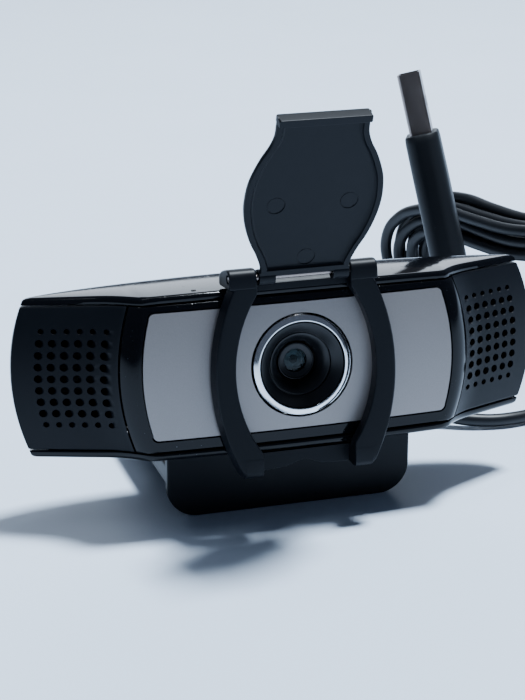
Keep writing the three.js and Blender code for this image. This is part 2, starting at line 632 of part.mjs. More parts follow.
// A strap closed round the upper run of the hank.
function makeTie() {
  const high = 2 * HANK_OUTER_R;
  const low = high - HANK_BUNDLE;
  const across = HANK_BUNDLE / 2 + GAP;
  const outer = box(TIE_AT - 3.5, TIE_AT + 3.5, low - GAP - 0.9, high + GAP + 0.9, -across - 0.9, across + 0.9);
  const inner = box(TIE_AT - 9, TIE_AT + 9, low - GAP, high + GAP, -across, across);
  return intoHank(geometryOf(outer.subtract(inner)));
}

function makePlug() {
  const tip = PLUG_GRIP + PLUG_SHELL;
  const body = plate(roundedShape(-3.5, 3.5, -7.9, 7.9, 1.6), 0, PLUG_GRIP, 4);
  const boot = solid(new THREE.CylinderGeometry(3.2, 1.9, 9, 12).rotateX(Math.PI / 2).translate(0, 0, -4.5));
  const shell = box(-2.25, 2.25, -6, 6, PLUG_GRIP + GAP, tip).subtract(box(-1.95, 1.95, -5.7, 5.7, PLUG_GRIP + 1.2, tip + 1));
  const windows = joined(
    box(-3, 3, -3.9, -1.7, PLUG_GRIP + 5, PLUG_GRIP + 7.2),
    box(-3, 3, 1.7, 3.9, PLUG_GRIP + 5, PLUG_GRIP + 7.2),
  );
  const tongue = box(-1.6, 0.1, -5.2, 5.2, PLUG_GRIP + 1.5, tip - 0.4);
  return {
    plug_body: [body.add(boot), RUBBER],
    plug_shell: [shell.subtract(windows), STEEL],
    plug_tongue: [tongue, CHIP],
  };
}

// ---------------------------------------------------------------- assembly

const webcam = new THREE.Group();
const stand = new THREE.Group();
stand.position.set(0, LENS_Y, 0);
webcam.add(stand);

const camera = new THREE.Group();
camera.position.set(0, 0, LENS_HEIGHT);
camera.rotation.x = -BODY_TILT;
stand.add(camera);

const flapHinge = new THREE.Group();
flapHinge.position.set(0, HINGE_Y, HINGE_Z);
flapHinge.rotation.x = FLAP_LEAN;
camera.add(flapHinge);

const plugAxis = new THREE.Vector3(...PLUG_AXIS).normalize();
const plugWide = new THREE.Vector3().crossVectors(plugAxis, new THREE.Vector3(...PLUG_FLAT_SIDE)).normalize();
const plugSide = new THREE.Vector3().crossVectors(plugWide, plugAxis);
const plug = new THREE.Group();
plug.position.set(...PLUG_FOOT);
plug.quaternion.setFromRotationMatrix(new THREE.Matrix4().makeBasis(plugSide, plugWide, plugAxis));
stand.add(plug);

function place(group, pieces) {
  for (const [name, [body, material]] of Object.entries(pieces)) {
    const mesh = new THREE.Mesh(geometryOf(body), material);
    mesh.name = name;
    group.add(mesh);
  }
}

place(camera, makeHousing());
place(camera, makeOptics());
place(camera, { cable_gland: [makeGland(), RUBBER] });
place(camera, {
  shutter_frame: [makeShutterFrame(), MATTE],
  shutter_pin: [cylinder('x', PIN_R, -12.9, 12.9, HINGE_Y, HINGE_Z, 10), STEEL],
});
place(flapHinge, { shutter_flap: [makeFlap(), MATTE] });
place(stand, makeClip());

// The cable out of the gland drops to the surface and runs along it to the hank.
const LEAD = [
  [24, 28.37, 21.5], [24.2, 32, 20.6], [26, 36.4, 16.5], [29.5, 38.6, 10.2], [34, 37, 4.8], [39.5, 33.4, 2.0],
  [46, 30.2, 1.5], [53, 29.6, 1.45], [60, 32.3, 1.45], [67, 37.4, 1.5], [74, 42.0, 1.8], [80.8, 45.45, 2.4],
];
const PLUG_LEAD = [
  [54.38, 62.36, 12.96], [55.1, 62.0, 9.4], [57.3, 62.9, 6.3], [60.3, 64.5, 4.4], [64.2, 66.6, 3.8], [68.7, 68.85, 3.8],
];

place(stand, {
  usb_cable: [tube(LEAD, CORD_R, 18), CABLE],
  cable_hank: [makeHank(), CABLE],
  cable_tie: [makeTie(), RUBBER],
  plug_lead: [tube(PLUG_LEAD, CORD_R, 6), CABLE],
});
place(plug, makePlug());

export default webcam;
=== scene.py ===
"""A wide desktop webcam on its folded clip, with a flip-up shutter and a wound cable.

Every length is in millimetres until a piece is placed, which turns it into metres.
"""
import logging
import math
import random
from collections.abc import Iterable, Mapping, Sequence
from dataclasses import dataclass
from enum import Enum

import bmesh
import bpy
from mathutils import Matrix, Vector


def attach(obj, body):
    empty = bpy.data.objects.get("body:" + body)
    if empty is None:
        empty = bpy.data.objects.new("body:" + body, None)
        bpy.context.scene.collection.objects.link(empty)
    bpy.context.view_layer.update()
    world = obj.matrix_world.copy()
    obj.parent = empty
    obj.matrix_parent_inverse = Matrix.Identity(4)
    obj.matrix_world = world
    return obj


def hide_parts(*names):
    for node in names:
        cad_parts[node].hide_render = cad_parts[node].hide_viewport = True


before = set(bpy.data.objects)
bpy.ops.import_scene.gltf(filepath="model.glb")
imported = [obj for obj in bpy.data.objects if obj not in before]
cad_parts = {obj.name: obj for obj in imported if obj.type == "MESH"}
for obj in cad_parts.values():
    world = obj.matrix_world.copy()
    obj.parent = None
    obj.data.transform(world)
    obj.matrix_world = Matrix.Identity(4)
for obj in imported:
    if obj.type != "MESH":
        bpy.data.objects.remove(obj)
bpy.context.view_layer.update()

log = logging.getLogger("webcam")

Point = Sequence[float]
Pair = tuple[float, float]
Place = tuple[float, float, float]
Colour = tuple[float, float, float]


# ---------------------------------------------------------------- shading


class Socket:
    """A shader value whose arithmetic adds Math nodes."""

    def __init__(self, net: "Net", output: bpy.types.NodeSocket) -> None:
        """Wraps one output socket of the net."""
        self.net = net
        self.output = output

    def _math(self, operation: str, first: "Value", second: "Value" = 0.0) -> "Socket":
        """Adds a Math node of the given operation and returns its value."""
        return self.net.node("ShaderNodeMath", {"operation": operation}, {0: first, 1: second})

    def __add__(self, other: "Value") -> "Socket":
        """Sum."""
        return self._math("ADD", self, other)

    def __radd__(self, other: float) -> "Socket":
        """Sum with a number on the left."""
        return self._math("ADD", other, self)

    def __sub__(self, other: "Value") -> "Socket":
        """Difference."""
        return self._math("SUBTRACT", self, other)

    def __rsub__(self, other: float) -> "Socket":
        """Difference with a number on the left."""
        return self._math("SUBTRACT", other, self)

    def __mul__(self, other: "Value") -> "Socket":
        """Product."""
        return self._math("MULTIPLY", self, other)

    def __rmul__(self, other: float) -> "Socket":
        """Product with a number on the left."""
        return self._math("MULTIPLY", other, self)

    def between(self, low: float, high: float) -> "Socket":
        """Rises smoothly from 0 to 1.

        Args:
            low: where the rise starts.
            high: where it ends.

        Returns:
            The risen value.
        """
        return self.net.node(
            "ShaderNodeMapRange",
            {"interpolation_type": "SMOOTHSTEP"},
            {"Value": self, "From Min": low, "From Max": high},
        )


Value = float | Socket


class Net:
    """The nodes of one material."""

    def __init__(self, name: str) -> None:
        """Starts an empty material.

        Args:
            name: the material's name.
        """
        self.material = bpy.data.materials.new(name)
        self.material.use_nodes = True
        self.tree = self.material.node_tree
        self.tree.nodes.clear()

    def node(
        self,
        kind: str,
        settings: Mapping[str, object],
        sockets: Mapping[int | str, object],
        out: int | str = 0,
    ) -> Socket:
        """Adds one node.

        Args:
            kind: the node's type name.
            settings: its properties, set before its sockets.
            sockets: a value or a link for each input, by name or index.
            out: the output that is returned.

        Returns:
            The chosen output.
        """
        made = self.tree.nodes.new(kind)
        for name, setting in settings.items():
            setattr(made, name, setting)
        for key, value in sockets.items():
            target = made.inputs[key]
            if isinstance(value, Socket):
                self.tree.links.new(value.output, target)
            elif target.type == "RGBA" and len(value) == 3:
                target.default_value = (*value, 1.0)
            else:
                target.default_value = value
        return Socket(self, made.outputs[out])

    def where(self, stretch: Point = (1.0, 1.0, 1.0)) -> Socket:
        """A point on the surface in the object's own metres.

        Args:
            stretch: the scale along each axis.

        Returns:
            The point.
        """
        place = self.node("ShaderNodeTexCoord", {}, {}, out="Object")
        return self.node("ShaderNodeMapping", {}, {"Vector": place, "Scale": stretch})

    def noise(self, place: Socket, size: float, detail: float = 3.0, rough: float = 0.55) -> Socket:
        """Soft noise.

        Args:
            place: the point that it is read at.
            size: about how wide its patches are, in millimetres.
            detail: how many finer layers it has.
            rough: how strong those layers are.

        Returns:
            A value round 0.5.
        """
        return self.node(
            "ShaderNodeTexNoise",
            {},
            {"Vector": place, "Scale": 1000.0 / size, "Detail": detail, "Roughness": rough},
        )

    def specks(self, place: Socket, pitch: float, radius: float) -> Socket:
        """Round specks scattered over the surface.

        Args:
            place: the point that they are read at.
            pitch: about how far apart they lie, in millimetres.
            radius: their radius, in millimetres.

        Returns:
            1 inside a speck and 0 outside.
        """
        cells = {"Vector": place, "Scale": 1000.0 / pitch}
        far = self.node("ShaderNodeTexVoronoi", {}, cells, out="Distance")
        return 1.0 - far.between(radius / pitch * 0.6, radius / pitch * 1.2)

    def mixed(self, factor: Value, first: object, second: object) -> Socket:
        """A colour between first and second."""
        return self.node("ShaderNodeMix", {"data_type": "RGBA"}, {0: factor, 6: first, 7: second}, out=2)

    def bump(self, height: Socket, depth: float) -> Socket:
        """A normal raised by a height.

        Args:
            height: the height, from 0 to 1.
            depth: what a height of 1 is, in millimetres.

        Returns:
            The normal.
        """
        values = {"Strength": 1.0, "Distance": depth / 1000.0, "Height": height}
        return self.node("ShaderNodeBump", {}, values, out="Normal")

    def edges(self, low: float, high: float) -> Socket:
        """1 along sharp outward edges."""
        return self.node("ShaderNodeNewGeometry", {}, {}, out="Pointiness").between(low, high)

    def surface(self, **sockets: object) -> bpy.types.Material:
        """Ends the material in a Principled shader.

        Args:
            sockets: a value or a link for each input, named with _ for a space.

        Returns:
            The finished material.
        """
        named = {name.replace("_", " "): value for name, value in sockets.items()}
        shader = self.node("ShaderNodeBsdfPrincipled", {}, named)
        self.node_out(shader)
        return self.material

    def node_out(self, shader: Socket) -> None:
        """Links the shader to the material's surface."""
        end = self.tree.nodes.new("ShaderNodeOutputMaterial")
        self.tree.links.new(shader.output, end.inputs["Surface"])


class Slot(Enum):
    """The record's material slots."""

    GLOSS = "gloss_black"
    SATIN = "satin_black"
    MATTE = "matte_black"
    SILVER = "silver_trim"
    CHROME = "chrome_trim"
    STEEL = "steel"
    BRASS = "brass"
    RUBBER = "rubber"
    GLASS = "lens_glass"
    BOARD = "board"
    CHIP = "chip"
    CONNECTOR = "connector"
    LIGHT_PIPE = "light_pipe"
    CABLE = "cable_jacket"


@dataclass(frozen=True)
class Moulded:
    """A moulded plastic or rubber: grain, smudges, dust and rubbed edges."""

    slot: Slot
    colour: Colour
    roughness: float
    grain: float = 0.25
    depth: float = 0.01
    smudge: float = 0.1
    dust: float = 0.3
    scratches: float = 0.0
    wear: float = 0.2
    ior: float = 1.5
    dust_colour: Colour = (0.22, 0.24, 0.28)

    def material(self) -> bpy.types.Material:
        """Builds the material.

        Returns:
            The finished material.
        """
        net = Net(self.slot.value)
        here = net.where()
        cloud = net.noise(here, 9.0)
        patch = net.noise(here, 2.2, 5.0, 0.65)
        fine = net.noise(here, self.grain, 2.0)
        lint = net.specks(here, 1.7, 0.075) * net.noise(here, 6.0).between(0.48, 0.62)
        powder = net.specks(here, 0.55, 0.05) * patch.between(0.5, 0.68)
        dust = (lint + powder * 0.6) * self.dust
        hair = net.noise(net.where((1.0, 0.06, 0.35)), 0.22, 1.0).between(0.68, 0.74) * self.scratches
        rubbed = net.edges(0.53, 0.6) * self.wear
        dark = tuple(0.82 * c for c in self.colour)
        light = tuple(1.2 * c for c in self.colour)
        pale = tuple(min(1.0, 2.6 * c + 0.01) for c in self.colour)
        tone = net.mixed(cloud, dark, light)
        tone = net.mixed(rubbed, tone, pale)
        tone = net.mixed(dust, tone, self.dust_colour)
        rough = self.roughness + (patch - 0.5) * self.smudge + dust * 0.35 + hair * 0.2
        height = fine + dust * 1.5 - hair
        return net.surface(
            Base_Color=tone,
            Roughness=rough,
            IOR=self.ior,
            Normal=net.bump(height, self.depth),
        )


@dataclass(frozen=True)
class Metal:
    """A metal with fine brushing along one axis, or blasted evenly."""

    slot: Slot
    colour: Colour
    roughness: float
    metallic: float = 1.0
    stretch: Place = (1.0, 1.0, 1.0)
    grain: float = 0.12
    depth: float = 0.004
    stain: Colour = (0.3, 0.27, 0.25)
    stained: float = 0.15

    def material(self) -> bpy.types.Material:
        """Builds the material.

        Returns:
            The finished material.
        """
        net = Net(self.slot.value)
        here = net.where()
        brush = net.noise(net.where(self.stretch), self.grain, 3.0, 0.7)
        cloud = net.noise(here, 5.0, 4.0)
        stain = cloud.between(0.5, 0.75) * self.stained
        spark = net.specks(here, 0.9, 0.06)
        light = tuple(min(1.0, 1.12 * c) for c in self.colour)
        tone = net.mixed(brush.between(0.3, 0.7), self.colour, light)
        tone = net.mixed(stain, tone, self.stain)
        rough = self.roughness + (brush - 0.5) * 0.12 + stain * 0.3 + spark * 0.06
        return net.surface(
            Base_Color=tone, Metallic=self.metallic, Roughness=rough, Normal=net.bump(brush, self.depth)
        )


@dataclass(frozen=True)
class Coated:
    """Coated lens glass, or a clear light pipe."""

    slot: Slot
    tint: Colour
    ior: float = 1.22
    clear: float = 1.0

    def material(self) -> bpy.types.Material:
        """Builds the material.

        Returns:
            The finished material.
        """
        net = Net(self.slot.value)
        cloud = net.noise(net.where(), 1.6)
        speck = net.specks(net.where(), 0.9, 0.05) * net.noise(net.where(), 3.0).between(0.5, 0.6)
        deep = tuple(0.8 * c for c in self.tint)
        return net.surface(
            Base_Color=net.mixed(cloud, self.tint, deep),
            Roughness=0.015 + speck * 0.3 + cloud * 0.01,
            Transmission_Weight=self.clear,
            IOR=self.ior,
            Coat_Weight=0.05,
            Coat_Roughness=0.02,
            Coat_Tint=(0.75, 0.9, 0.92),
            Normal=net.bump(speck, 0.01),
        )


@dataclass(frozen=True)
class Laminate:
    """A circuit board: solder mask with pads and traces under it."""

    slot: Slot = Slot.BOARD
    mask: Colour = (0.015, 0.12, 0.055)
    copper: Colour = (0.04, 0.22, 0.1)
    pad: Colour = (0.75, 0.72, 0.6)

    def material(self) -> bpy.types.Material:
        """Builds the material.

        Returns:
            The finished material.
        """
        net = Net(self.slot.value)
        here = net.where()
        trace = net.noise(net.where((1.0, 0.2, 3.0)), 1.6, 0.0).between(0.5, 0.53)
        pads = net.specks(here, 2.6, 0.45)
        tone = net.mixed(pads, net.mixed(trace, self.mask, self.copper), self.pad)
        return net.surface(
            Base_Color=tone, Roughness=0.35 + pads * 0.1 + net.noise(here, 0.4) * 0.1,
            Metallic=pads * 0.8, Normal=net.bump(trace + pads, 0.03),
        )


@dataclass(frozen=True)
class Paper:
    """The pale surface that the webcam stands on."""

    colour: Colour = (0.67, 0.78, 0.94)

    def material(self) -> bpy.types.Material:
        """Builds the material.

        Returns:
            The finished material.
        """
        net = Net("pale_paper")
        here = net.where()
        cloud = net.noise(here, 60.0)
        fibre = net.noise(here, 0.8, 4.0)
        deep = tuple(0.94 * c for c in self.colour)
        return net.surface(
            Base_Color=net.mixed(cloud, self.colour, deep), Roughness=0.45 + cloud * 0.1,
            Normal=net.bump(fibre, 0.02),
        )


FINISHES = (
    Moulded(
        Slot.GLOSS, (0.002, 0.0024, 0.0036), roughness=0.08, grain=0.6, depth=0.0015, smudge=0.06,
        dust=1.2, scratches=0.8, wear=0.05, ior=1.3,
    ),
    Moulded(
        Slot.SATIN, (0.0032, 0.0038, 0.0052), roughness=0.34, grain=0.3, depth=0.006, smudge=0.1,
        dust=0.2, ior=1.38,
    ),
    Moulded(
        Slot.MATTE, (0.0025, 0.0034, 0.0056), roughness=0.44, grain=0.22, depth=0.006, smudge=0.1,
        dust=0.08, ior=1.25,
    ),
    Metal(
        Slot.SILVER, (0.268, 0.244, 0.236), roughness=0.42, metallic=0.6, grain=0.16, depth=0.006,
        stained=0.08,
    ),
    Metal(Slot.CHROME, (0.8, 0.82, 0.85), roughness=0.13, grain=0.5, depth=0.001, stained=0.05),
    Metal(
        Slot.STEEL, (0.27, 0.225, 0.205), roughness=0.3, stretch=(6.0, 6.0, 0.3), depth=0.003,
        stained=0.4,
    ),
    Metal(
        Slot.BRASS, (0.62, 0.45, 0.2), roughness=0.3, stretch=(1.0, 1.0, 4.0),
        stain=(0.25, 0.16, 0.07), stained=0.4,
    ),
    Moulded(
        Slot.RUBBER, (0.004, 0.0052, 0.0075), roughness=0.5, grain=0.4, depth=0.01, smudge=0.12,
        dust=0.2, wear=0.15, ior=1.34,
    ),
    Coated(Slot.GLASS, (0.5, 0.66, 0.7)),
    Laminate(),
    Moulded(
        Slot.CHIP, (0.012, 0.012, 0.013), roughness=0.5, grain=0.12, depth=0.008, smudge=0.1, dust=0.2
    ),
    Moulded(
        Slot.CONNECTOR, (0.6, 0.56, 0.46), roughness=0.45, grain=0.3, depth=0.004, smudge=0.1,
        dust=0.1, wear=0.0,
    ),
    Coated(Slot.LIGHT_PIPE, (0.75, 0.8, 0.85), ior=1.49, clear=0.8),
    Moulded(
        Slot.CABLE, (0.005, 0.0062, 0.0085), roughness=0.42, grain=0.5, depth=0.01, smudge=0.12,
        dust=0.15, wear=0.0, ior=1.38,
    ),
)


# ---------------------------------------------------------------- solids


class Axis(Enum):
    """The axis that a turned or extruded form follows, and how its drawing plane maps to space."""

    X = "x"
    Y = "y"
    Z = "z"

    def point(self, a: float, b: float, along: float) -> Place:
        """Turns a place on a drawing across the axis into a point in space.

        Args:
            a: the drawing's first coordinate.
            b: its second.
            along: the place along the axis.

        Returns:
            The point.
        """
        if self is Axis.X:
            return (along, a, b)
        if self is Axis.Y:
            return (a, along, b)
        return (a, b, along)


def linked(name: str, data: bpy.types.ID) -> bpy.types.Object:
    """Makes an object of the data and puts it in the scene.

    Args:
        name: the object's name.
        data: its mesh, curve, light or camera.

    Returns:
        The new object.
    """
    made = bpy.data.objects.new(name, data)
    bpy.context.scene.collection.objects.link(made)
    return made


class Form:
    """A closed mesh in millimetres that can be joined to others, cut and bevelled."""

    def __init__(
        self, points: Iterable[Point], faces: Iterable[Sequence[int]], poles: bool = False
    ) -> None:
        """Makes the mesh, closes it and turns its faces outwards.

        Args:
            points: its corners.
            faces: the corners of each face, by index.
            poles: whether faces shrink to nothing at the ends of an axis, and are taken out.
        """
        self.mesh = bpy.data.meshes.new("form")
        self.mesh.from_pydata([tuple(p) for p in points], [], [tuple(f) for f in faces])
        work = bmesh.new()
        work.from_mesh(self.mesh)
        bmesh.ops.remove_doubles(work, verts=work.verts, dist=1e-5)
        if poles:
            bmesh.ops.dissolve_degenerate(work, edges=work.edges, dist=1e-6)
        bmesh.ops.recalc_face_normals(work, faces=work.faces)
        work.to_mesh(self.mesh)
        work.free()

    @classmethod
    def _of(cls, mesh: bpy.types.Mesh) -> "Form":
        """Wraps a mesh that is closed already.

        Args:
            mesh: the mesh.

        Returns:
            The form.
        """
        made = cls.__new__(cls)
        made.mesh = mesh
        return made

    @classmethod
    def rings(
        cls, rings: Sequence[Sequence[Point]], strip_caps: bool = False, closed: bool = False
    ) -> "Form":
        """A skin over a stack of rings of equal count.

        Args:
            rings: the rings from first to last.
            strip_caps: whether an end is filled by strips between its two halves, for a curved end.
            closed: whether the last ring joins the first, as round a hoop.

        Returns:
            The closed form.
        """
        count = len(rings[0])
        points = [p for ring in rings for p in ring]
        last = len(rings) if closed else len(rings) - 1
        faces: list[tuple[int, ...]] = []
        for level in range(last):
            low, high = level * count, ((level + 1) % len(rings)) * count
            for i in range(count):
                j = (i + 1) % count
                faces.append((low + i, low + j, high + j, high + i))
        if not closed:
            for base in (0, (len(rings) - 1) * count):
                if strip_caps:
                    half = count // 2
                    end = base + count - 1
                    faces += [(base + i, base + i + 1, end - 1 - i, end - i) for i in range(half - 1)]
                else:
                    faces.append(tuple(range(base, base + count)))
        return cls(points, faces)

    @classmethod
    def box(cls, low: Point, high: Point) -> "Form":
        """A block between two corners."""
        ring = [(low[0], low[1]), (high[0], low[1]), (high[0], high[1]), (low[0], high[1])]
        return cls.rings([[(x, y, z) for x, y in ring] for z in (low[2], high[2])])

    @classmethod
    def prism(cls, outline: Sequence[Pair], axis: Axis, start: float, end: float) -> "Form":
        """An outline drawn across the axis, given length along it."""
        return cls.rings([[axis.point(a, b, along) for a, b in outline] for along in (start, end)])

    @classmethod
    def rod(
        cls,
        axis: Axis,
        radius: float,
        start: float,
        end: float,
        centre: Pair,
        sides: int = 48,
    ) -> "Form":
        """A round bar along an axis.

        Args:
            axis: the axis.
            radius: the bar's radius.
            start: where it starts along the axis.
            end: where it ends.
            centre: its centre on the drawing across the axis.
            sides: how many flat sides it has.

        Returns:
            The closed form.
        """
        return cls.prism(circle(radius, centre, sides), axis, start, end)

    @classmethod
    def turned(cls, profile: Sequence[Pair], sides: int = 128, axis: Axis = Axis.Y) -> "Form":
        """A closed profile turned about an axis through the origin.

        Args:
            profile: its (radius, along) corners; one that ends on the axis is closed there.
            sides: how many flat sides the turned skin has.
            axis: the axis.

        Returns:
            The closed form.
        """
        rings = []
        for step in range(sides):
            c, s = math.cos(2 * math.pi * step / sides), math.sin(2 * math.pi * step / sides)
            rings.append([axis.point(r * c, r * s, along) for r, along in profile])
        if all(r > 0 for r, _ in profile):
            return cls.rings(rings, closed=True)
        count = len(profile)
        points = [p for ring in rings for p in ring]
        faces = []
        for step in range(sides):
            low, high = step * count, ((step + 1) % sides) * count
            faces += [(low + i, low + i + 1, high + i + 1, high + i) for i in range(count - 1)]
        return cls(points, faces, poles=True)

    def _with(self, kind: str, settings: Mapping[str, object], other: "Form | None" = None) -> "Form":
        """The mesh after one modifier.

        Args:
            kind: the modifier's type name.
            settings: its properties.
            other: the body that it works with, for a boolean.

        Returns:
            The new body.
        """
        host = linked("host", self.mesh)
        helper = None
        modifier = host.modifiers.new("work", kind)
        for name, value in settings.items():
            setattr(modifier, name, value)
        if other is not None:
            helper = linked("helper", other.mesh)
            modifier.object = helper
        graph = bpy.context.evaluated_depsgraph_get()
        mesh = bpy.data.meshes.new_from_object(host.evaluated_get(graph))
        bpy.data.objects.remove(host)
        if helper is not None:
            bpy.data.objects.remove(helper)
        return Form._of(mesh)

    def _boolean(self, operation: str, others: Sequence["Form"]) -> "Form":
        """The mesh after the same operation with each of the others.

        Args:
            operation: the boolean's name.
            others: the bodies, in order.

        Returns:
            The new body.
        """
        made = self
        for other in others:
            made = made._with("BOOLEAN", {"operation": operation, "solver": "MANIFOLD"}, other)
        return made

    def joined(self, *others: "Form") -> "Form":
        """This body and the others as one."""
        return self._boolean("UNION", others)

    def cut(self, *others: "Form") -> "Form":
        """This body without the others."""
        return self._boolean("DIFFERENCE", others)

    def common(self, *others: "Form") -> "Form":
        """What this body shares with the others."""
        return self._boolean("INTERSECT", others)

    def bevelled(self, width: float, segments: int = 2, angle: float = 40.0) -> "Form":
        """The body with its sharp edges rounded.

        Args:
            width: the width of the rounding.
            segments: how many strips it has.
            angle: the angle in degrees above which an edge is rounded.

        Returns:
            The new body.
        """
        settings = {
            "width": width, "segments": segments, "limit_method": "ANGLE",
            "angle_limit": math.radians(angle), "use_clamp_overlap": True,
        }
        return self._with("BEVEL", settings)

    def moved(self, shift: Point) -> "Form":
        """This body itself, shifted in place."""
        self.mesh.transform(Matrix.Translation(shift))
        return self

    def piece(
        self,
        name: str,
        place: Matrix,
        slot: Slot,
        body: str,
        *nodes: str,
        smooth: float = 38.0,
        even: bool = False,
    ) -> bpy.types.Object:
        """Places the body in the scene, in metres.

        Args:
            name: the piece's name.
            place: where its millimetres go.
            slot: its finish.
            body: the CAD body that it rides on.
            nodes: the CAD nodes that it stands for.
            smooth: the angle in degrees above which an edge stays sharp.
            even: whether flat faces keep flat shading up to their rounded edges.

        Returns:
            The new object.
        """
        mesh = self.mesh.copy()
        mesh.transform(Matrix.Scale(0.001, 4) @ place)
        made = linked(name, mesh)
        mesh.materials.clear()
        mesh.materials.append(Wardrobe.get(slot))
        mesh.shade_smooth()
        mesh.set_sharp_from_angle(angle=math.radians(smooth))
        if even:
            made.modifiers.new("even", "WEIGHTED_NORMAL").keep_sharp = True
        return carried(made, body, nodes)


def carried(made: bpy.types.Object, body: str, nodes: Sequence[str]) -> bpy.types.Object:
    """Declares a new piece to the frame.

    Args:
        made: the piece's object.
        body: the CAD body that it rides on.
        nodes: the CAD nodes that it stands for.

    Returns:
        The same object.
    """
    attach(made, body)
    if nodes:
        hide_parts(*nodes)
    log.info("%s rides on %s", made.name, body)
    return made


class Wardrobe:
    """The materials, each built once."""

    _made: dict[Slot, bpy.types.Material] = {}

    @classmethod
    def get(cls, slot: Slot) -> bpy.types.Material:
        """Gives the material of a slot, which is built when it is first asked for.

        Args:
            slot: the slot.

        Returns:
            The material.
        """
        if slot not in cls._made:
            finish = next(f for f in FINISHES if f.slot is slot)
            cls._made[slot] = finish.material()
        return cls._made[slot]

    @classmethod
    def dress(cls, node: str, slot: Slot) -> None:
        """Gives a CAD node that stays its finish.

        Args:
            node: the node's name.
            slot: its slot.
        """
        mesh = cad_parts[node].data
        mesh.materials.clear()
        mesh.materials.append(cls.get(slot))


def circle(radius: float, centre: Pair = (0.0, 0.0), sides: int = 48) -> list[Pair]:
    """The corners of a round outline.

    Args:
        radius: its radius.
        centre: its centre.
        sides: how many corners it has.

    Returns:
        The corners.
    """
    cx, cy = centre
    angles = [i * (2 * math.pi / sides) for i in range(sides)]
    return [(cx + radius * math.cos(angle), cy + radius * math.sin(angle)) for angle in angles]


def rounded(x0: float, x1: float, y0: float, y1: float, r: float, steps: int = 8) -> list[Pair]:
    """A rectangle with round corners.

    Args:
        x0: its left side.
        x1: its right side.
        y0: its lower side.
        y1: its upper side.
        r: the radius of its corners.
        steps: how many sides each round corner has.

    Returns:
        The outline.
    """
    outline = []
    left, right, low, high = x0 + r, x1 - r, y0 + r, y1 - r
    for cx, cy, start in ((right, low, -90), (right, high, 0), (left, high, 90), (left, low, 180)):
        for i in range(steps + 1):
            angle = math.radians(start + 90 * i / steps)
            outline.append((cx + r * math.cos(angle), cy + r * math.sin(angle)))
    return outline


def softened(points: Sequence[Point], steps: int) -> list[Vector]:
    """A smooth open curve through some points.

    Args:
        points: the points, which the curve passes through.
        steps: how many parts each stretch is divided into.

    Returns:
        The points of the curve.
    """
    places = [Vector(p) for p in points]
    ends = [2 * places[0] - places[1], *places, 2 * places[-1] - places[-2]]
    curve = []
    for a, b, c, d in zip(ends, ends[1:], ends[2:], ends[3:]):
        for i in range(steps):
            t = i / steps
            square, cube = 2 * a - 5 * b + 4 * c - d, 3 * b - a - 3 * c + d
            curve.append(0.5 * (2 * b + (c - a) * t + square * t**2 + cube * t**3))
    return [*curve, places[-1]]


# ---------------------------------------------------------------- places


@dataclass(frozen=True)
class Places:
    """Where each sub-assembly's own millimetres go in the row frame."""

    lens_height: float = 28.1
    lens_y: float = -21.75
    tilt: float = 7.2
    hinge: Pair = (-1.7, 15.9)
    flap_lean: float = 26.2
    plug_foot: Place = (52.9, 64.59, 21.9)
    plug_axis: Place = (-0.1597, 0.2395, 0.9577)
    plug_side: Place = (0.9095, -0.3414, 0.2371)

    @property
    def stand(self) -> Matrix:
        """The upright frame, measured from the lens plane."""
        return Matrix.Translation((0, self.lens_y, 0))

    @property
    def camera(self) -> Matrix:
        """The tilted frame of the camera, with its origin at the lens."""
        lift = Matrix.Translation((0, 0, self.lens_height))
        return self.stand @ lift @ Matrix.Rotation(-math.radians(self.tilt), 4, "X")

    @property
    def flap(self) -> Matrix:
        """The open flap's frame, standing up from its hinge."""
        hinge = Matrix.Translation((0, *self.hinge))
        return self.camera @ hinge @ Matrix.Rotation(math.radians(self.flap_lean), 4, "X")

    @property
    def plug(self) -> Matrix:
        """The plug's frame, Z along its axis and Y across its wide side.

        Returns:
            Where the plug's millimetres go.
        """
        along = Vector(self.plug_axis).normalized()
        wide = along.cross(Vector(self.plug_side)).normalized()
        side = wide.cross(along)
        turn = Matrix((side, wide, along)).transposed().to_4x4()
        return self.stand @ Matrix.Translation(self.plug_foot) @ turn


PLACES = Places()


# ---------------------------------------------------------------- housing


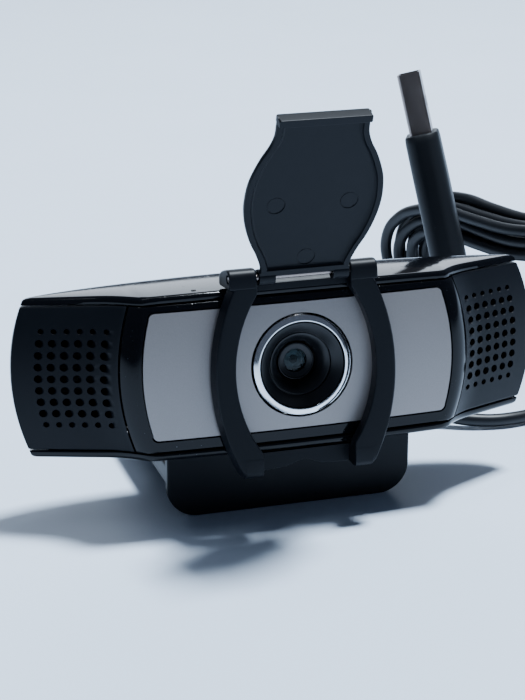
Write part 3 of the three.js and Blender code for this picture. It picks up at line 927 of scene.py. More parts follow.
@dataclass
class Housing:
    """The camera's shell: a wide body with hollow shoulders and glossy covers."""

    top: float = 13.8
    bottom: float = -14.4
    tip_u: float = 44.2
    bulge: float = 2.9
    tip_y: float = 12.7
    back_y: float = 22.5
    wall: float = 1.6
    cover: float = 1.3
    gap: float = 0.3
    divider: float = 27.75
    seam_behind: float = 3.2
    plate_u: float = 24.3
    plate_z: float = 10.75
    plate_thick: float = 0.55
    opening: float = 8.95
    samples: int = 84
    level_count: int = 26
    gland: Place = (24.0, 21.6, -3.0)
    crown_u: float = 26.0
    crown: float = 1.1
    bevel: float = 1.8
    shoulder: float = 2.9
    shoulder_slope: float = 1.15
    cap_u: float = 32.5
    cap_slope: float = 0.5
    roll: float = 0.6
    back_rim: float = 0.41
    back_rise: float = 0.59
    fall: float = 0.75
    tip_inset: float = 2.2
    far: float = 60.0
    hole_rows: int = 9
    hole_columns: int = 6
    hole_pitch: float = 2.0
    hole_start: Pair = (30.0, -0.3)
    hole_radius: float = 0.56
    hole_radius_end: float = 0.38
    hole_flare: float = 0.75
    hole_sides: int = 16

    @property
    def low(self) -> float:
        """The lower edge of the band between the covers."""
        return self.bottom + self.cover + self.gap

    @property
    def high(self) -> float:
        """The upper edge of the band between the covers."""
        return self.top - self.cover - self.gap

    def ratio(self, z: float) -> float:
        """Height as a share of the half height, from -1 to 1."""
        middle = (self.top + self.bottom) / 2
        return (z - middle) / (self.top - middle)

    def spread(self, u: float, z: float) -> float:
        """The place across the body of a line that bows out at mid height."""
        bow = self.bulge * (1 - self.ratio(z) ** 2) * min(1.0, abs(u) / self.plate_u) ** 2
        return u + math.copysign(bow, u) if u else 0.0

    def front(self, u: float) -> float:
        """Depth of the front: a crowned bezel, a bevel, a hollow and a straight cap.

        Args:
            u: the place across the body, before it bows.

        Returns:
            The depth behind the lens plane.
        """
        a = abs(u)
        if a <= self.crown_u:
            return self.crown * (a / self.crown_u) ** 2
        if a <= self.divider:
            return self.crown + self.bevel * ((a - self.crown_u) / (self.divider - self.crown_u)) ** 1.3
        if a >= self.cap_u:
            return self.tip_y - self.cap_slope * (self.tip_u - a)
        run = self.cap_u - self.divider
        s = (a - self.divider) / run
        end = self.tip_y - self.cap_slope * (self.tip_u - self.cap_u)
        return (
            (2 * s**3 - 3 * s**2 + 1) * self.shoulder
            + (s**3 - 2 * s**2 + s) * self.shoulder_slope * run
            + (3 * s**2 - 2 * s**3) * end
            + (s**3 - s**2) * self.cap_slope * run
        )

    def back(self, u: float, z: float) -> float:
        """Depth of the back, which rounds over at its edges.

        Args:
            u: the place across the body.
            z: the height.

        Returns:
            The depth behind the lens plane.
        """
        across = math.sqrt(max(0.0, 1 - min(1.0, abs(u) / self.tip_u) ** 3))
        over = self.back_rim + self.back_rise * math.sqrt(max(0.0, 1 - abs(self.ratio(z)) ** 3.4))
        return self.tip_y + self.roll + (self.back_y - self.tip_y - self.roll) * across * over

    def droop(self, u: float, z: float) -> float:
        """Height, with the top surface falling a little towards the tips."""
        return z - self.fall * (u / self.tip_u) ** 2 * max(0.0, z / self.top) ** 2

    def outline(self, z: float, inset: float) -> list[Place]:
        """The plan outline at one height.

        Args:
            z: the height.
            inset: how far it is drawn in.

        Returns:
            The corners, along the front and back again behind.
        """
        reach = self.tip_u - self.tip_inset * inset
        crown = self.roll * self.ratio(z) ** 2
        turns = [math.pi / 2 * (2 * i / self.samples - 1) for i in range(self.samples + 1)]
        across = [reach * math.sin(turn) for turn in turns]
        ahead = [(u, self.front(u) + crown + inset) for u in across]
        behind = [
            (u, max(self.back(u, z) - inset, self.front(u) + crown + inset + 0.05))
            for u in reversed(across)
        ]
        return [(self.spread(u, z), y, self.droop(u, z)) for u, y in ahead + behind]

    def stack(self, levels: Iterable[Pair]) -> Form:
        """A body through the outlines at the given (height, inset) levels."""
        return Form.rings([self.outline(z, inset) for z, inset in levels], strip_caps=True)

    def layers(self, low: float, high: float, inset: float = 0.0) -> list[Pair]:
        """Even levels of one inset."""
        count = self.level_count
        return [(low + (high - low) * i / count, inset) for i in range(count + 1)]

    def bowed(self, u: float, low: float, high: float, corner: float = 0.0) -> list[Pair]:
        """A window outline whose sides bow out.

        Args:
            u: its half width at the top and bottom.
            low: its lower edge.
            high: its upper edge.
            corner: the radius of its corners, or 0 for sharp ones.

        Returns:
            The outline.
        """
        side = []
        steps = 40
        for i in range(steps + 1):
            z = low + (high - low) * i / steps
            side.append((self.spread(u, z), z))
        if corner:
            kept = [p for p in side if low + corner < p[1] < high - corner]
            arc = [math.radians(90 * i / 8) for i in range(9)]
            foot = self.spread(u, low + corner) - corner
            head = self.spread(u, high - corner) - corner
            lower = [(foot + corner * math.sin(a), low + corner - corner * math.cos(a)) for a in arc]
            upper = [(head + corner * math.cos(a), high - corner + corner * math.sin(a)) for a in arc]
            side = lower + kept + upper
        return side + [(-x, z) for x, z in reversed(side)]

    def seam(self, x: float, extra: float) -> float:
        """Where the cap ends and the rear housing begins.

        Args:
            x: the place across the body.
            extra: how far behind the seam itself.

        Returns:
            The depth behind the lens plane.
        """
        tip = self.tip_u + self.bulge
        return self.tip_y - self.cap_slope * (tip - x) + self.seam_behind + extra

    def rear(self, band: Form) -> None:
        """Makes the rear shell with its hole for the cable.

        Args:
            band: the hollow band between the covers.
        """
        far, step = self.far, 36
        behind = [
            (-far, self.seam(far, self.gap)), (-step, self.seam(step, self.gap)), (-step, 14), (step, 14),
            (step, self.seam(step, self.gap)), (far, self.seam(far, self.gap)), (far, far), (-far, far),
        ]
        gx, _, gz = self.gland
        rear = band.common(Form.prism(behind, Axis.Z, -30, 30)).cut(Form.rod(Axis.Y, 2.6, 15, 30, (gx, gz)))
        rear.piece("rear_shell", PLACES.camera, Slot.SATIN, "camera", "rear_housing")

    def face(self, band: Form) -> None:
        """Makes the glossy surround and the trim plate that sits in its pocket.

        Args:
            band: the hollow band between the covers.
        """
        opening = Form.rod(Axis.Y, self.opening, -6, 8, (0, 0), 96)
        rim = self.plate_z + self.gap
        pocket = Form.prism(self.bowed(self.plate_u + self.gap, -rim, rim, 1.2), Axis.Y, -6, 6).cut(
            self.stack(self.layers(self.low - 1, self.high + 1, self.plate_thick + self.gap))
        )
        window = Form.prism(self.bowed(self.divider, self.low - 0.5, self.high + 0.5), Axis.Y, -6, 5.5)
        bezel = band.common(window).cut(pocket, opening)
        bezel.piece("front_surround", PLACES.camera, Slot.GLOSS, "camera", "front_bezel")

        trim = Form.prism(self.bowed(self.plate_u, -self.plate_z, self.plate_z, 1.0), Axis.Y, -6, 6)
        plate = self.stack(self.layers(-12, 12)).cut(self.stack(self.layers(-13, 13, self.plate_thick)))
        plate = plate.common(trim).cut(opening)
        plate.piece("trim_plate", PLACES.camera, Slot.SILVER, "camera", "silver_plate")

    def caps(self, band: Form) -> None:
        """Makes the two perforated caps and the felts behind them.

        Args:
            band: the hollow band between the covers.
        """
        far, step = self.far, 30
        ahead = [
            (-far, -20), (far, -20), (far, self.seam(far, 0)), (step, self.seam(step, 0)),
            (-step, self.seam(step, 0)), (-far, self.seam(far, 0)),
        ]
        inner = Form.prism(self.bowed(self.divider + self.gap, -20, 20), Axis.Y, -20, far)
        both = band.common(Form.prism(ahead, Axis.Z, -30, 30)).cut(inner)
        for side, name in ((-1, "left"), (1, "right")):
            half = Form.box((min(0, side * far), -20, -30), (max(0, side * far), far, 30))
            cap = both.common(half).cut(self.sound_holes(side))
            cap.piece(f"sound_cap_{name}", PLACES.camera, Slot.MATTE, "camera", f"grille_{name}")
            felt = Form.rod(Axis.Y, 2.7, 11.5, 12.1, (side * 37, -0.3), 40).bevelled(0.15)
            felt.piece(f"wind_felt_{name}", PLACES.camera, Slot.CHIP, "camera")

    def covers(self) -> None:
        """Makes the glossy lid with a dark disc on it, painted shade that stands in for the indicator
        pinhole, and the base cover.
        """
        place = PLACES.camera
        edge = [(0.0, 0.75), (0.05, 0.5), (0.16, 0.25), (0.34, 0.08), (0.55, 0.0)]
        upper = [(self.top - self.cover, 0.1), (self.top - self.cover + 0.1, 0.0)]
        upper += [(self.top - d, i) for d, i in reversed(edge)]
        self.stack(upper).piece("lid", place, Slot.GLOSS, "camera", "top_cover", smooth=50)
        # Painted shade: a dark disc sits on the lid where the indicator pinhole would show its shaded
        # inside; the lid itself has no hole.
        window = Form.rod(Axis.Z, 0.4, self.top - 0.6, self.top + 0.02, (-17.4, 3.4), 24)
        window.piece("pinhole_shade_disc", place, Slot.CHIP, "camera")
        lower = [(self.bottom + d, i) for d, i in edge]
        lower += [(self.bottom + self.cover - 0.1, 0.0), (self.bottom + self.cover, 0.1)]
        wells = [Form.rod(Axis.Z, 1.6, -20, -10, (x, 12), 32) for x in (-24, 24)]
        base = self.stack(lower).cut(*wells)
        base.piece("base_cover", place, Slot.GLOSS, "camera", "bottom_cover", smooth=50)

    def build(self) -> None:
        """Makes the shell's pieces."""
        levels = [
            (self.low, 0.12), (self.low + 0.12, 0.0), *self.layers(self.low + 0.4, self.high - 0.4),
            (self.high - 0.12, 0.0), (self.high, 0.12),
        ]
        outer = self.stack(levels)
        band = outer.cut(self.stack(self.layers(self.low - 1, self.high + 1, self.wall)))
        self.rear(band)
        self.face(band)
        self.caps(band)
        self.covers()

    def sound_holes(self, side: int) -> Form:
        """Rows and columns of countersunk holes that follow the cap's bow.

        Args:
            side: -1 for the left cap, 1 for the right.

        Returns:
            The plugs that are cut away.
        """
        points: list[Point] = []
        faces: list[tuple[int, ...]] = []
        sides = self.hole_sides
        first_u, middle_z = self.hole_start
        for row in range(self.hole_rows):
            z = middle_z + (row - self.hole_rows // 2) * self.hole_pitch
            radius = self.hole_radius_end if row in (0, self.hole_rows - 1) else self.hole_radius
            for column in range(self.hole_columns):
                u = first_u + self.hole_pitch * column
                x, y = side * self.spread(u, z), self.front(u) + self.roll * self.ratio(z) ** 2
                base = len(points)
                skew = side * self.cap_slope
                for depth, r in ((-1.2, radius + self.hole_flare), (0.28, radius), (5.0, radius)):
                    for a, b in circle(r, (x, z), sides):
                        tilt = (a - x) * skew if depth < 1 else 0.0
                        points.append((a, y + depth + tilt, b))
                for ring in range(2):
                    for i in range(sides):
                        j = (i + 1) % sides
                        low = base + ring * sides
                        faces.append((low + i, low + j, low + sides + j, low + sides + i))
                faces.append(tuple(range(base, base + sides)))
                faces.append(tuple(range(base + 2 * sides, base + 3 * sides)))
        return Form(points, faces)


# ---------------------------------------------------------------- optics


@dataclass
class Optics:
    """The lens ring, the funnel behind it, and the focusing barrel with its glass."""

    ring_out: float = 8.6
    barrel: float = 3.2
    screw_x: float = 24.0
    screw_y: float = 12.0

    def mount(self) -> None:
        """Makes the bright ring and the stepped funnel inside it."""
        ring = [
            (self.ring_out - 0.12, 0.02), (self.ring_out, 0.16), (self.ring_out, 1.3), (7.8, 1.3),
            (7.42, 0.25), (7.44, -0.12), (7.52, -0.24), (7.66, -0.27), (7.84, -0.22),
        ]
        made = Form.turned(ring, 192)
        made.piece("lens_trim_ring", PLACES.camera, Slot.CHROME, "camera", "lens_ring", smooth=30)
        tunnel = [
            (7.2, -0.1), (7.05, -0.02), (6.2, 0.55), (5.62, 1.1), (5.5, 1.2), (5.46, 1.62), (5.3, 1.62),
            (5.22, 1.3), (5.0, 1.38), (4.3, 2.1), (3.78, 2.9), (3.55, 3.3), (3.5, 4.0), (8.4, 4.0),
            (8.4, 1.6), (7.35, 1.6), (7.3, 0.1),
        ]
        made = Form.turned(tunnel, 160)
        made.piece("lens_funnel", PLACES.camera, Slot.SATIN, "camera", "lens_tunnel", smooth=30)

    def lens(self) -> None:
        """Makes the barrel, its two elements and the iris, which move together."""
        barrel = [
            (2.96, 3.62), (2.9, 3.72), (2.45, 3.9), (2.05, 4.02), (1.98, 4.1), (1.9, 4.8), (1.5, 5.0),
            (1.4, 6.6), (2.2, 6.8), (2.3, 9.3), (self.barrel, 9.3), (self.barrel, 3.72), (3.14, 3.6),
            (3.04, 3.57),
        ]
        dome = [
            (0.0, 3.72), (0.5, 3.745), (1.0, 3.82), (1.45, 3.94), (1.9, 4.12), (1.9, 4.5), (1.0, 4.46),
            (0.0, 4.44),
        ]
        rear = [(0.0, 7.0), (2.05, 7.0), (2.05, 8.3), (1.2, 8.62), (0.6, 8.72), (0.0, 8.75)]
        iris = [(1.45, 5.1), (1.45, 5.25), (0.7, 5.3), (0.7, 5.2)]
        for name, profile, sides, slot, nodes in (
            ("focus_barrel", barrel, 96, Slot.SATIN, ("lens_barrel",)),
            ("front_element", dome, 96, Slot.GLASS, ("front_lens",)),
            ("rear_element", rear, 64, Slot.GLASS, ("rear_lens",)),
            ("iris_plate", iris, 64, Slot.CHIP, ()),
        ):
            Form.turned(profile, sides).piece(name, PLACES.camera, slot, "lens", *nodes, smooth=30)

    def boards(self) -> None:
        """Dresses the solids behind the lens, which stay as the CAD model has them."""
        for node, slot in {
            "focus_actuator": Slot.STEEL, "lens_holder": Slot.SATIN, "image_sensor": Slot.CHIP,
            "sensor_board": Slot.BOARD, "main_board": Slot.BOARD, "video_processor": Slot.CHIP,
            "heat_spreader": Slot.STEEL, "cable_header": Slot.CONNECTOR, "indicator_light": Slot.LIGHT_PIPE,
            "microphone_left": Slot.STEEL, "microphone_right": Slot.STEEL,
            "microphone_gasket_left": Slot.RUBBER, "microphone_gasket_right": Slot.RUBBER,
        }.items():
            Wardrobe.dress(node, slot)

    def screws(self) -> None:
        """Makes the two cross-head screws under the housing."""
        y = self.screw_y
        for x, name in ((-self.screw_x, "left"), (self.screw_x, "right")):
            head = Form.rod(Axis.Z, 1.25, -14.2, -13.3, (x, y), 40).bevelled(0.15)
            slots = [
                Form.box((x - 0.8, y - 0.12, -14.4), (x + 0.8, y + 0.12, -13.8)),
                Form.box((x - 0.12, y - 0.8, -14.4), (x + 0.12, y + 0.8, -13.8)),
            ]
            shank = Form.rod(Axis.Z, 0.7, -13.4, -9.5, (x, y), 24)
            screw = head.cut(*slots).joined(shank)
            screw.piece(
                f"case_screw_{name}", PLACES.camera, Slot.STEEL, "camera", f"housing_screw_{name}"
            )

    def build(self) -> None:
        """Makes the turned pieces, dresses the boards and adds the screws."""
        self.mount()
        self.lens()
        self.boards()
        self.screws()


# ---------------------------------------------------------------- shutter


@dataclass
class Shutter:
    """The clip-on frame with two crescent arms, and the flap that folds down between them."""

    front: float = -2.7
    back: float = -0.35
    inner: float = 12.25
    outer: float = 16.1
    claw_low: float = 8.1
    claw_high: float = 12.9
    hook_high: float = 11.3
    arm_low: float = -17.9
    arm_long: float = 33.6
    arm_steps: int = 40
    arm_corner: float = 0.32
    outer_arc: Pair = (35.0, -1.0)
    inner_arc: Pair = (24.0, -0.3)
    pin: float = 0.5
    hole: float = 0.8
    flap_outer: float = 0.35
    pan: float = 0.4
    tip: float = 31.0
    neck: float = 7.75
    ear: float = 5.0
    mark: float = 1.42

    def arm(self, side: int) -> Form:
        """One arm, a soft-cornered bar swept down two arcs.

        Args:
            side: -1 for the left arm, 1 for the right.

        Returns:
            The arm.
        """
        rings = []
        outer_r, outer_z = self.outer_arc
        inner_r, inner_z = self.inner_arc
        corner = self.arm_corner
        for i in range(self.arm_steps + 1):
            z = self.arm_low + self.arm_long * i / self.arm_steps
            out = self.outer - outer_r + math.sqrt(outer_r**2 - (z - outer_z) ** 2)
            sweep = math.sqrt(inner_r**2 - min(inner_r - 1, abs(z - inner_z)) ** 2)
            inn = max(self.claw_low, self.inner - inner_r + sweep)
            face = self.front + 0.05 + (0.55 if z < self.arm_low + 0.5 else 0.0)
            section = [
                (inn, self.back), (inn, face + corner), (inn + 0.1, face + 0.1), (inn + corner, face),
                (out - 0.95, face), (out - 0.62, face + 0.07), (out - 0.4, face + 0.3), (out, self.back),
            ]
            rings.append([(side * x, y, z) for x, y in section])
        return Form.rings(rings)

    def frame_form(self) -> Form:
        """The frame in one piece: two arms with claws and hooks, a bar, a sill and a catch.

        Returns:
            The frame.
        """
        over = [
            (self.front, 14.1), (3.6, 14.1), (3.9, 14.5), (3.75, 15.7), (3.3, 16.3), (2.4, 16.75),
            (0.6, 17.2), (-0.8, 17.42), (-1.5, 17.38), (-2.1, 17.1), (-2.5, 16.6), (self.front, 15.9),
        ]
        under = [
            (self.front, -14.72), (self.front, -17.0), (-2.4, -17.7), (-1.6, -18.1), (2.2, -17.7),
            (3.1, -17.2), (3.4, -16.4), (3.4, -14.72),
        ]
        whole = None
        for side in (-1, 1):
            low, high = sorted((side * self.claw_low, side * self.claw_high))
            claw = Form.prism(over, Axis.X, low, high).bevelled(0.35, 4, 50)
            low, high = sorted((side * self.claw_low, side * self.hook_high))
            hook = Form.prism(under, Axis.X, low, high).bevelled(0.2, 2)
            arm = self.arm(side).joined(claw, hook)
            whole = arm if whole is None else whole.joined(arm)
        reach = self.claw_low + 0.4
        bridge = [
            (-0.38, 13.35), (0.2, 13.35), (0.2, 14.1), (3.7, 14.1), (3.7, 15.3), (3.4, 15.5), (0.9, 15.6),
            (0.5, 15.3), (0.1, 14.75), (-0.38, 14.5),
        ]
        sill = Form.box((-reach, 0.95, -16.0), (reach, 3.3, -14.72))
        tab = Form.prism(self.tab(), Axis.Y, 0.95, 2.3).bevelled(0.15, 2)
        bore = Form.rod(Axis.X, self.hole, -20, 20, PLACES.hinge, 32)
        bar = Form.prism(bridge, Axis.X, -reach, reach).bevelled(0.08, 2)
        return whole.joined(bar, sill, tab).cut(bore)

    def tab(self) -> list[Pair]:
        """The catch below the lens, with a wavy lower edge and a finger notch.

        Returns:
            Its outline.
        """
        half = self.claw_low + 0.2
        wave = [
            (half, -17.75), (6.4, -17.7), (4.6, -17.6), (3.2, -17.45), (2.2, -17.2), (1.2, -16.75),
            (0.1, -16.55), (-1.0, -16.75), (-2.2, -17.2), (-3.4, -17.5), (-5.0, -17.65), (-6.6, -17.7),
            (-half, -17.75),
        ]
        curve = softened([(x, z, 0.0) for x, z in wave], 4)
        return [(half, -15.2), *[(p.x, p.y) for p in curve], (-half, -15.2)]

    def flap_outline(self, inset: float, low: float) -> list[Pair]:
        """The flap's outline, from the hinge end round to the lip and back.

        Args:
            inset: how far it is drawn in.
            low: where it starts, measured from the hinge.

        Returns:
            The outline.
        """
        half = [
            (self.neck, low), (self.neck, 2.4), (8.75, 5.0), (9.95, 7.4), (11.0, 10.4), (11.6, 13.4),
            (11.68, 16.0), (11.25, 19.2), (9.9, 22.8), (8.5, 25.4), (7.85, 27.4), (self.neck, 29.6),
        ]
        curve = softened([(x - inset, s, 0.0) for x, s in half], 5)
        side = [(p.x, p.y) for p in curve] + [(self.neck - inset, self.tip - inset)]
        return side + [(-x, s) for x, s in reversed(side)]

    def flap_form(self) -> Form:
        """The flap: a dished shield with a rolled rim, a lip, two hinge ears and moulded marks.

        Returns:
            The flap.
        """
        skins = [
            (self.flap_outer, 1.1, 0.9), (0.33, 0.8, 0.8), (0.2, 0.45, 0.7), (0.0, 0.12, 0.6),
            (-0.25, 0.0, 0.6), (-0.75, 0.0, 0.6), (-0.92, 0.08, 0.65), (-1.0, 0.25, 0.7),
        ]
        shield = Form.rings(
            [[(x, y, s) for x, s in self.flap_outline(inset, low)] for y, inset, low in skins]
        )
        dish = [
            (-2.0, 0.95, 1.6), (-0.98, 1.05, 1.75), (-0.75, 1.2, 1.9), (-0.52, 1.4, 2.1),
            (-self.pan, 1.75, 2.4),
        ]
        hollow = []
        for y, inset, low in dish:
            top = self.tip - 1.4 - inset * 0.45
            hollow.append([(x, y, min(s, top)) for x, s in self.flap_outline(inset, low)])
        pan = Form.rings(hollow)
        lip_outline = rounded(-7.7, 7.7, self.tip - 1.35, self.tip, 0.3, 4)
        lip = Form.prism(lip_outline, Axis.Y, -1.95, self.flap_outer - 0.05).bevelled(0.12, 2)
        gap = Form.box((-self.ear, -3, -2), (self.ear, 3, 0.75))
        body = shield.cut(pan, gap)
        for low, high in ((-self.neck, -self.ear), (self.ear, self.neck)):
            web = Form.box((low, -1, 0), (high, 0, 1.5))
            ear = Form.rod(Axis.X, 1.35, low, high, (0, 0), 40).joined(web)
            body = body.joined(ear.bevelled(0.1, 2))
        body = body.joined(lip)
        for x, s in ((-6.2, 14.2), (6.2, 14.2), (0.0, 3.75)):
            body = body.cut(*self.mark_tools(x, s))
        return body.cut(Form.rod(Axis.X, self.hole, -20, 20, (0, 0), 32))

    def mark_tools(self, x: float, s: float) -> tuple[Form, Form]:
        """What is cut away for one round mark in the flap's face.

        Args:
            x: its place across the flap.
            s: its distance from the hinge.

        Returns:
            The groove round the mark, and the shallow sink inside it.
        """
        low, high, rim = -0.4 - self.pan, 0.1 - self.pan, self.mark + 0.16
        groove = Form.turned([(self.mark, low), (rim, low), (rim, high), (self.mark, high)], 48)
        sink = Form.rod(Axis.Y, self.mark, -self.pan - 1, -self.pan + 0.06, (x, s), 48)
        return groove.moved((x, 0.0, s)), sink

    def build(self) -> None:
        """Makes the frame, its pin and the flap."""
        place = PLACES.camera
        self.frame_form().piece(
            "shutter_clip", place, Slot.MATTE, "camera", "shutter_frame", smooth=32, even=True
        )
        pin = Form.rod(Axis.X, self.pin, -12.8, 12.8, PLACES.hinge, 32).bevelled(0.12, 2)
        pin.piece("shutter_hinge_pin", place, Slot.STEEL, "camera", "shutter_pin")
        self.flap_form().piece(
            "privacy_flap", PLACES.flap, Slot.MATTE, "flap", "shutter_flap", smooth=32, even=True
        )


# ---------------------------------------------------------------- clip


@dataclass
class Clip:
    """The folded monitor clip: an arm with a front lip, a leg and a foot, on three hinges."""

    half_x: float = 22.0
    front: float = 6.4
    lip: float = 2.0
    lip_top: float = 11.8
    corner: float = 5.4
    arm_low: float = 5.9
    arm_high: float = 9.6
    leg_axis: Pair = (52.0, 5.0)
    foot_axis: Pair = (13.2, 1.85)
    tilt_axis: Pair = (11.3, 7.4)
    knuckle: float = 3.5
    leg_low: float = 0.9
    leg_high: float = 4.9
    gap: float = 0.3
    leg_bore: float = 1.1
    tilt_bore: float = 1.2
    foot_bore: float = 0.8
    fork: float = 13.4
    leg_half: float = 19.0
    barrel_half: float = 13.0
    insert_y: float = 41.0

    def lip_outline(self) -> list[Pair]:
        """The lip's outline, with large round lower corners.

        Returns:
            The outline.
        """
        c, r = self.half_x, self.corner
        arc = [math.radians(90 * i / 14) for i in range(15)]
        right = [(c - r + r * math.sin(a), r - r * math.cos(a)) for a in arc]
        side = [*right, (c, self.lip_top)]
        return side + [(-x, z) for x, z in reversed(side)]

    def arm(self) -> Form:
        """The arm that carries the lip.

        Returns:
            The arm, cut for the neck and the leg's hinge.
        """
        y, z = self.leg_axis
        ty, tz = self.tilt_axis
        back = self.front + self.lip
        lip = Form.prism(self.lip_outline(), Axis.Y, self.front, back).bevelled(0.45, 4)
        plan = rounded(-self.half_x, self.half_x, self.front + 0.4, y + 1, 1.2)
        deck = Form.prism(plan, Axis.Z, self.arm_low, self.arm_high).bevelled(0.5, 3)
        body = lip.joined(deck)
        for low, high in ((-self.half_x, -self.fork), (self.fork, self.half_x)):
            body = body.joined(Form.rod(Axis.X, self.knuckle, low, high, (y, z), 48).bevelled(0.3, 2))
        return body.cut(
            Form.box((-9.3, back + 0.1, 0), (9.3, ty + 3, 20)),
            Form.box((-self.fork, y - self.knuckle - 0.7, 0), (self.fork, 70, 20)),
            Form.rod(Axis.X, self.leg_bore, -30, 30, (y, z), 32),
            Form.rod(Axis.X, self.tilt_bore, -16.5, 16.5, (ty, tz), 32),
        )

    def leg(self) -> Form:
        """The folding leg with its hinge barrel and the recess for the thread insert.

        Returns:
            The leg.
        """
        y, z = self.leg_axis
        fy, fz = self.foot_axis
        rear = y - self.knuckle - 0.6
        half, barrel = self.leg_half, self.barrel_half
        top = rounded(-half, half, 10.3, rear, 2.5)
        sole = rounded(-half, half, 31.4, rear - 0.02, 1.5)
        body = Form.prism(top, Axis.Z, 3.4, self.leg_high).bevelled(0.35, 3)
        body = body.joined(
            Form.prism(sole, Axis.Z, self.leg_low, 3.7).bevelled(0.35, 3),
            Form.box((-barrel, rear - 2, 1.7), (barrel, y, self.leg_high - 0.05)),
            Form.rod(Axis.X, self.knuckle - 0.1, -barrel, barrel, (y, z), 48).bevelled(0.25, 2),
        )
        for low, high in ((-17, -12), (12, 17)):
            body = body.joined(
                Form.box((low, fy - 1.2, fz), (high, fy + 1.2, 3.6)),
                Form.rod(Axis.X, 1.2, low - 0.01, high + 0.01, (fy, fz), 32),
            )
        return body.cut(
            Form.rod(Axis.X, self.leg_bore, -30, 30, (y, z), 32),
            Form.rod(Axis.X, self.foot_bore, -30, 30, (fy, fz), 24),
            Form.rod(Axis.Z, 4.6, 0, 4.1, (0, self.insert_y), 64),
        )

    def foot(self) -> Form:
        """The folding foot.

        Returns:
            The foot.
        """
        fy, fz = self.foot_axis
        body = Form.prism(rounded(-17, 17, fy + 2.6, 30.8, 2), Axis.Z, self.leg_low, 2.6).bevelled(0.3, 3)
        body = body.joined(
            Form.box((-11.6, fy, self.leg_low + 0.1), (11.6, fy + 4, 2.55)),
            Form.rod(Axis.X, 1.15, -11.61, 11.61, (fy, fz), 32),
        )
        return body.cut(Form.rod(Axis.X, self.foot_bore, -30, 30, (fy, fz), 24))

    def insert(self) -> Form:
        """The threaded insert, with its thread as stacked grooves.

        Returns:
            The insert.
        """
        outer, crest, root, pitch = 4.3, 3.0, 3.22, 0.5
        profile = [(outer, 1.1), (outer, 3.8), (crest, 3.8)]
        for i in range(5):
            z = 3.6 - i * pitch
            profile += [(crest, z), (root, z - pitch / 2)]
        profile += [(crest, 1.1), (3.15, 1.0), (4.2, 1.0)]
        return Form.turned(profile, 64, Axis.Z).moved((0, self.insert_y, 0))

    def pad(self, x: float, y0: float, y1: float, low: float, high: float, ribs: int) -> Form:
        """A rubber pad with fine ribs across its lower face.

        Args:
            x: its half width.
            y0: its front edge.
            y1: its rear edge.
            low: its lower face.
            high: its upper face.
            ribs: how many grooves divide it.

        Returns:
            The pad.
        """
        body = Form.prism(rounded(-x, x, y0, y1, 1.2), Axis.Z, low, high).bevelled(0.12, 2)
        step = (y1 - y0) / (ribs + 1)
        grooves = []
        for i in range(ribs):
            y = y0 + step * (i + 1)
            grooves.append(Form.box((-x + 1.5, y - 0.2, low - 1), (x - 1.5, y + 0.2, low + 0.15)))
        return body.cut(*grooves)

    def build(self) -> None:
        """Makes the clip's pieces."""
        for form, name, slot, body, node in (
            (self.arm(), "clip_arm_body", Slot.MATTE, "clip", "clip_arm"),
            (self.leg(), "clip_leg_body", Slot.MATTE, "leg", "clip_leg"),
            (self.foot(), "clip_foot_body", Slot.MATTE, "foot", "clip_foot"),
        ):
            form.piece(name, PLACES.stand, slot, body, node, smooth=32, even=True)
        self.insert().piece("thread_insert", PLACES.stand, Slot.BRASS, "leg", "tripod_insert", smooth=30)
        self.pads()
        self.hinges()

    def pads(self) -> None:
        """Makes the rubber pads."""
        place, rubber = PLACES.stand, Slot.RUBBER
        self.pad(15, 17.4, 29.6, 0.0, 0.6, 8).piece("foot_sole", place, rubber, "foot", "foot_pad")
        self.pad(15, 32.4, 35.6, 0.0, 0.6, 2).piece("leg_sole", place, rubber, "leg", "leg_pad")
        self.pad(17, 20, 45, 5.2, 5.6, 12).piece("arm_lining", place, rubber, "clip", "arm_pad")
        face = self.front + self.lip + self.gap
        lining = Form.prism(rounded(-17, 17, 1.0, 4.8, 1), Axis.Y, face, face + 0.9).bevelled(0.2)
        lining.piece("lip_lining", place, rubber, "clip", "lip_pad")

    def hinges(self) -> None:
        """Makes the neck, the three axles and the spring washers."""
        place = PLACES.stand
        ty, tz = self.tilt_axis
        stem = Form.box((-8.3, ty - 2, tz), (8.3, ty + 2, 11.5))
        stem = stem.joined(Form.rod(Axis.X, 2.3, -8.3, 8.3, (ty, tz), 40))
        stem = stem.cut(Form.rod(Axis.X, self.tilt_bore, -30, 30, (ty, tz), 32)).bevelled(0.2)
        stem.piece("neck", place, Slot.SATIN, "camera", "tilt_neck", smooth=32, even=True)
        for name, radius, half, centre, body, node in (
            ("tilt_axle", 0.9, 16.2, self.tilt_axis, "clip", "tilt_pin"),
            ("leg_axle", 0.8, 21.5, self.leg_axis, "clip", "leg_pin"),
            ("foot_axle", 0.5, 16.6, self.foot_axis, "leg", "foot_pin"),
        ):
            axle = Form.rod(Axis.X, radius, -half, half, centre, 32).bevelled(0.15)
            axle.piece(name, place, Slot.STEEL, body, node)
        for name, low, high in (("left", -9.0, -8.6), ("right", 8.6, 9.0)):
            hole = Form.rod(Axis.X, self.tilt_bore, -30, 30, (ty, tz), 40)
            washer = Form.rod(Axis.X, 2.1, low, high, (ty, tz), 40).cut(hole)
            washer.piece(f"spring_washer_{name}", place, Slot.BRASS, "clip", f"friction_washer_{name}")


# ---------------------------------------------------------------- cable


@dataclass(frozen=True)
class Turn:
    """One turn of the hank, and how far it strays from a neat loop.

    The lane counts cable widths across the hank. Reach is how far the far end sticks out, slump how far
    its top drops there, sag how far the upper run hangs, and lean how far the ends lean across.
    """

    radius: float
    lane: float
    reach: float
    slump: float
    sag: float
    lean: float


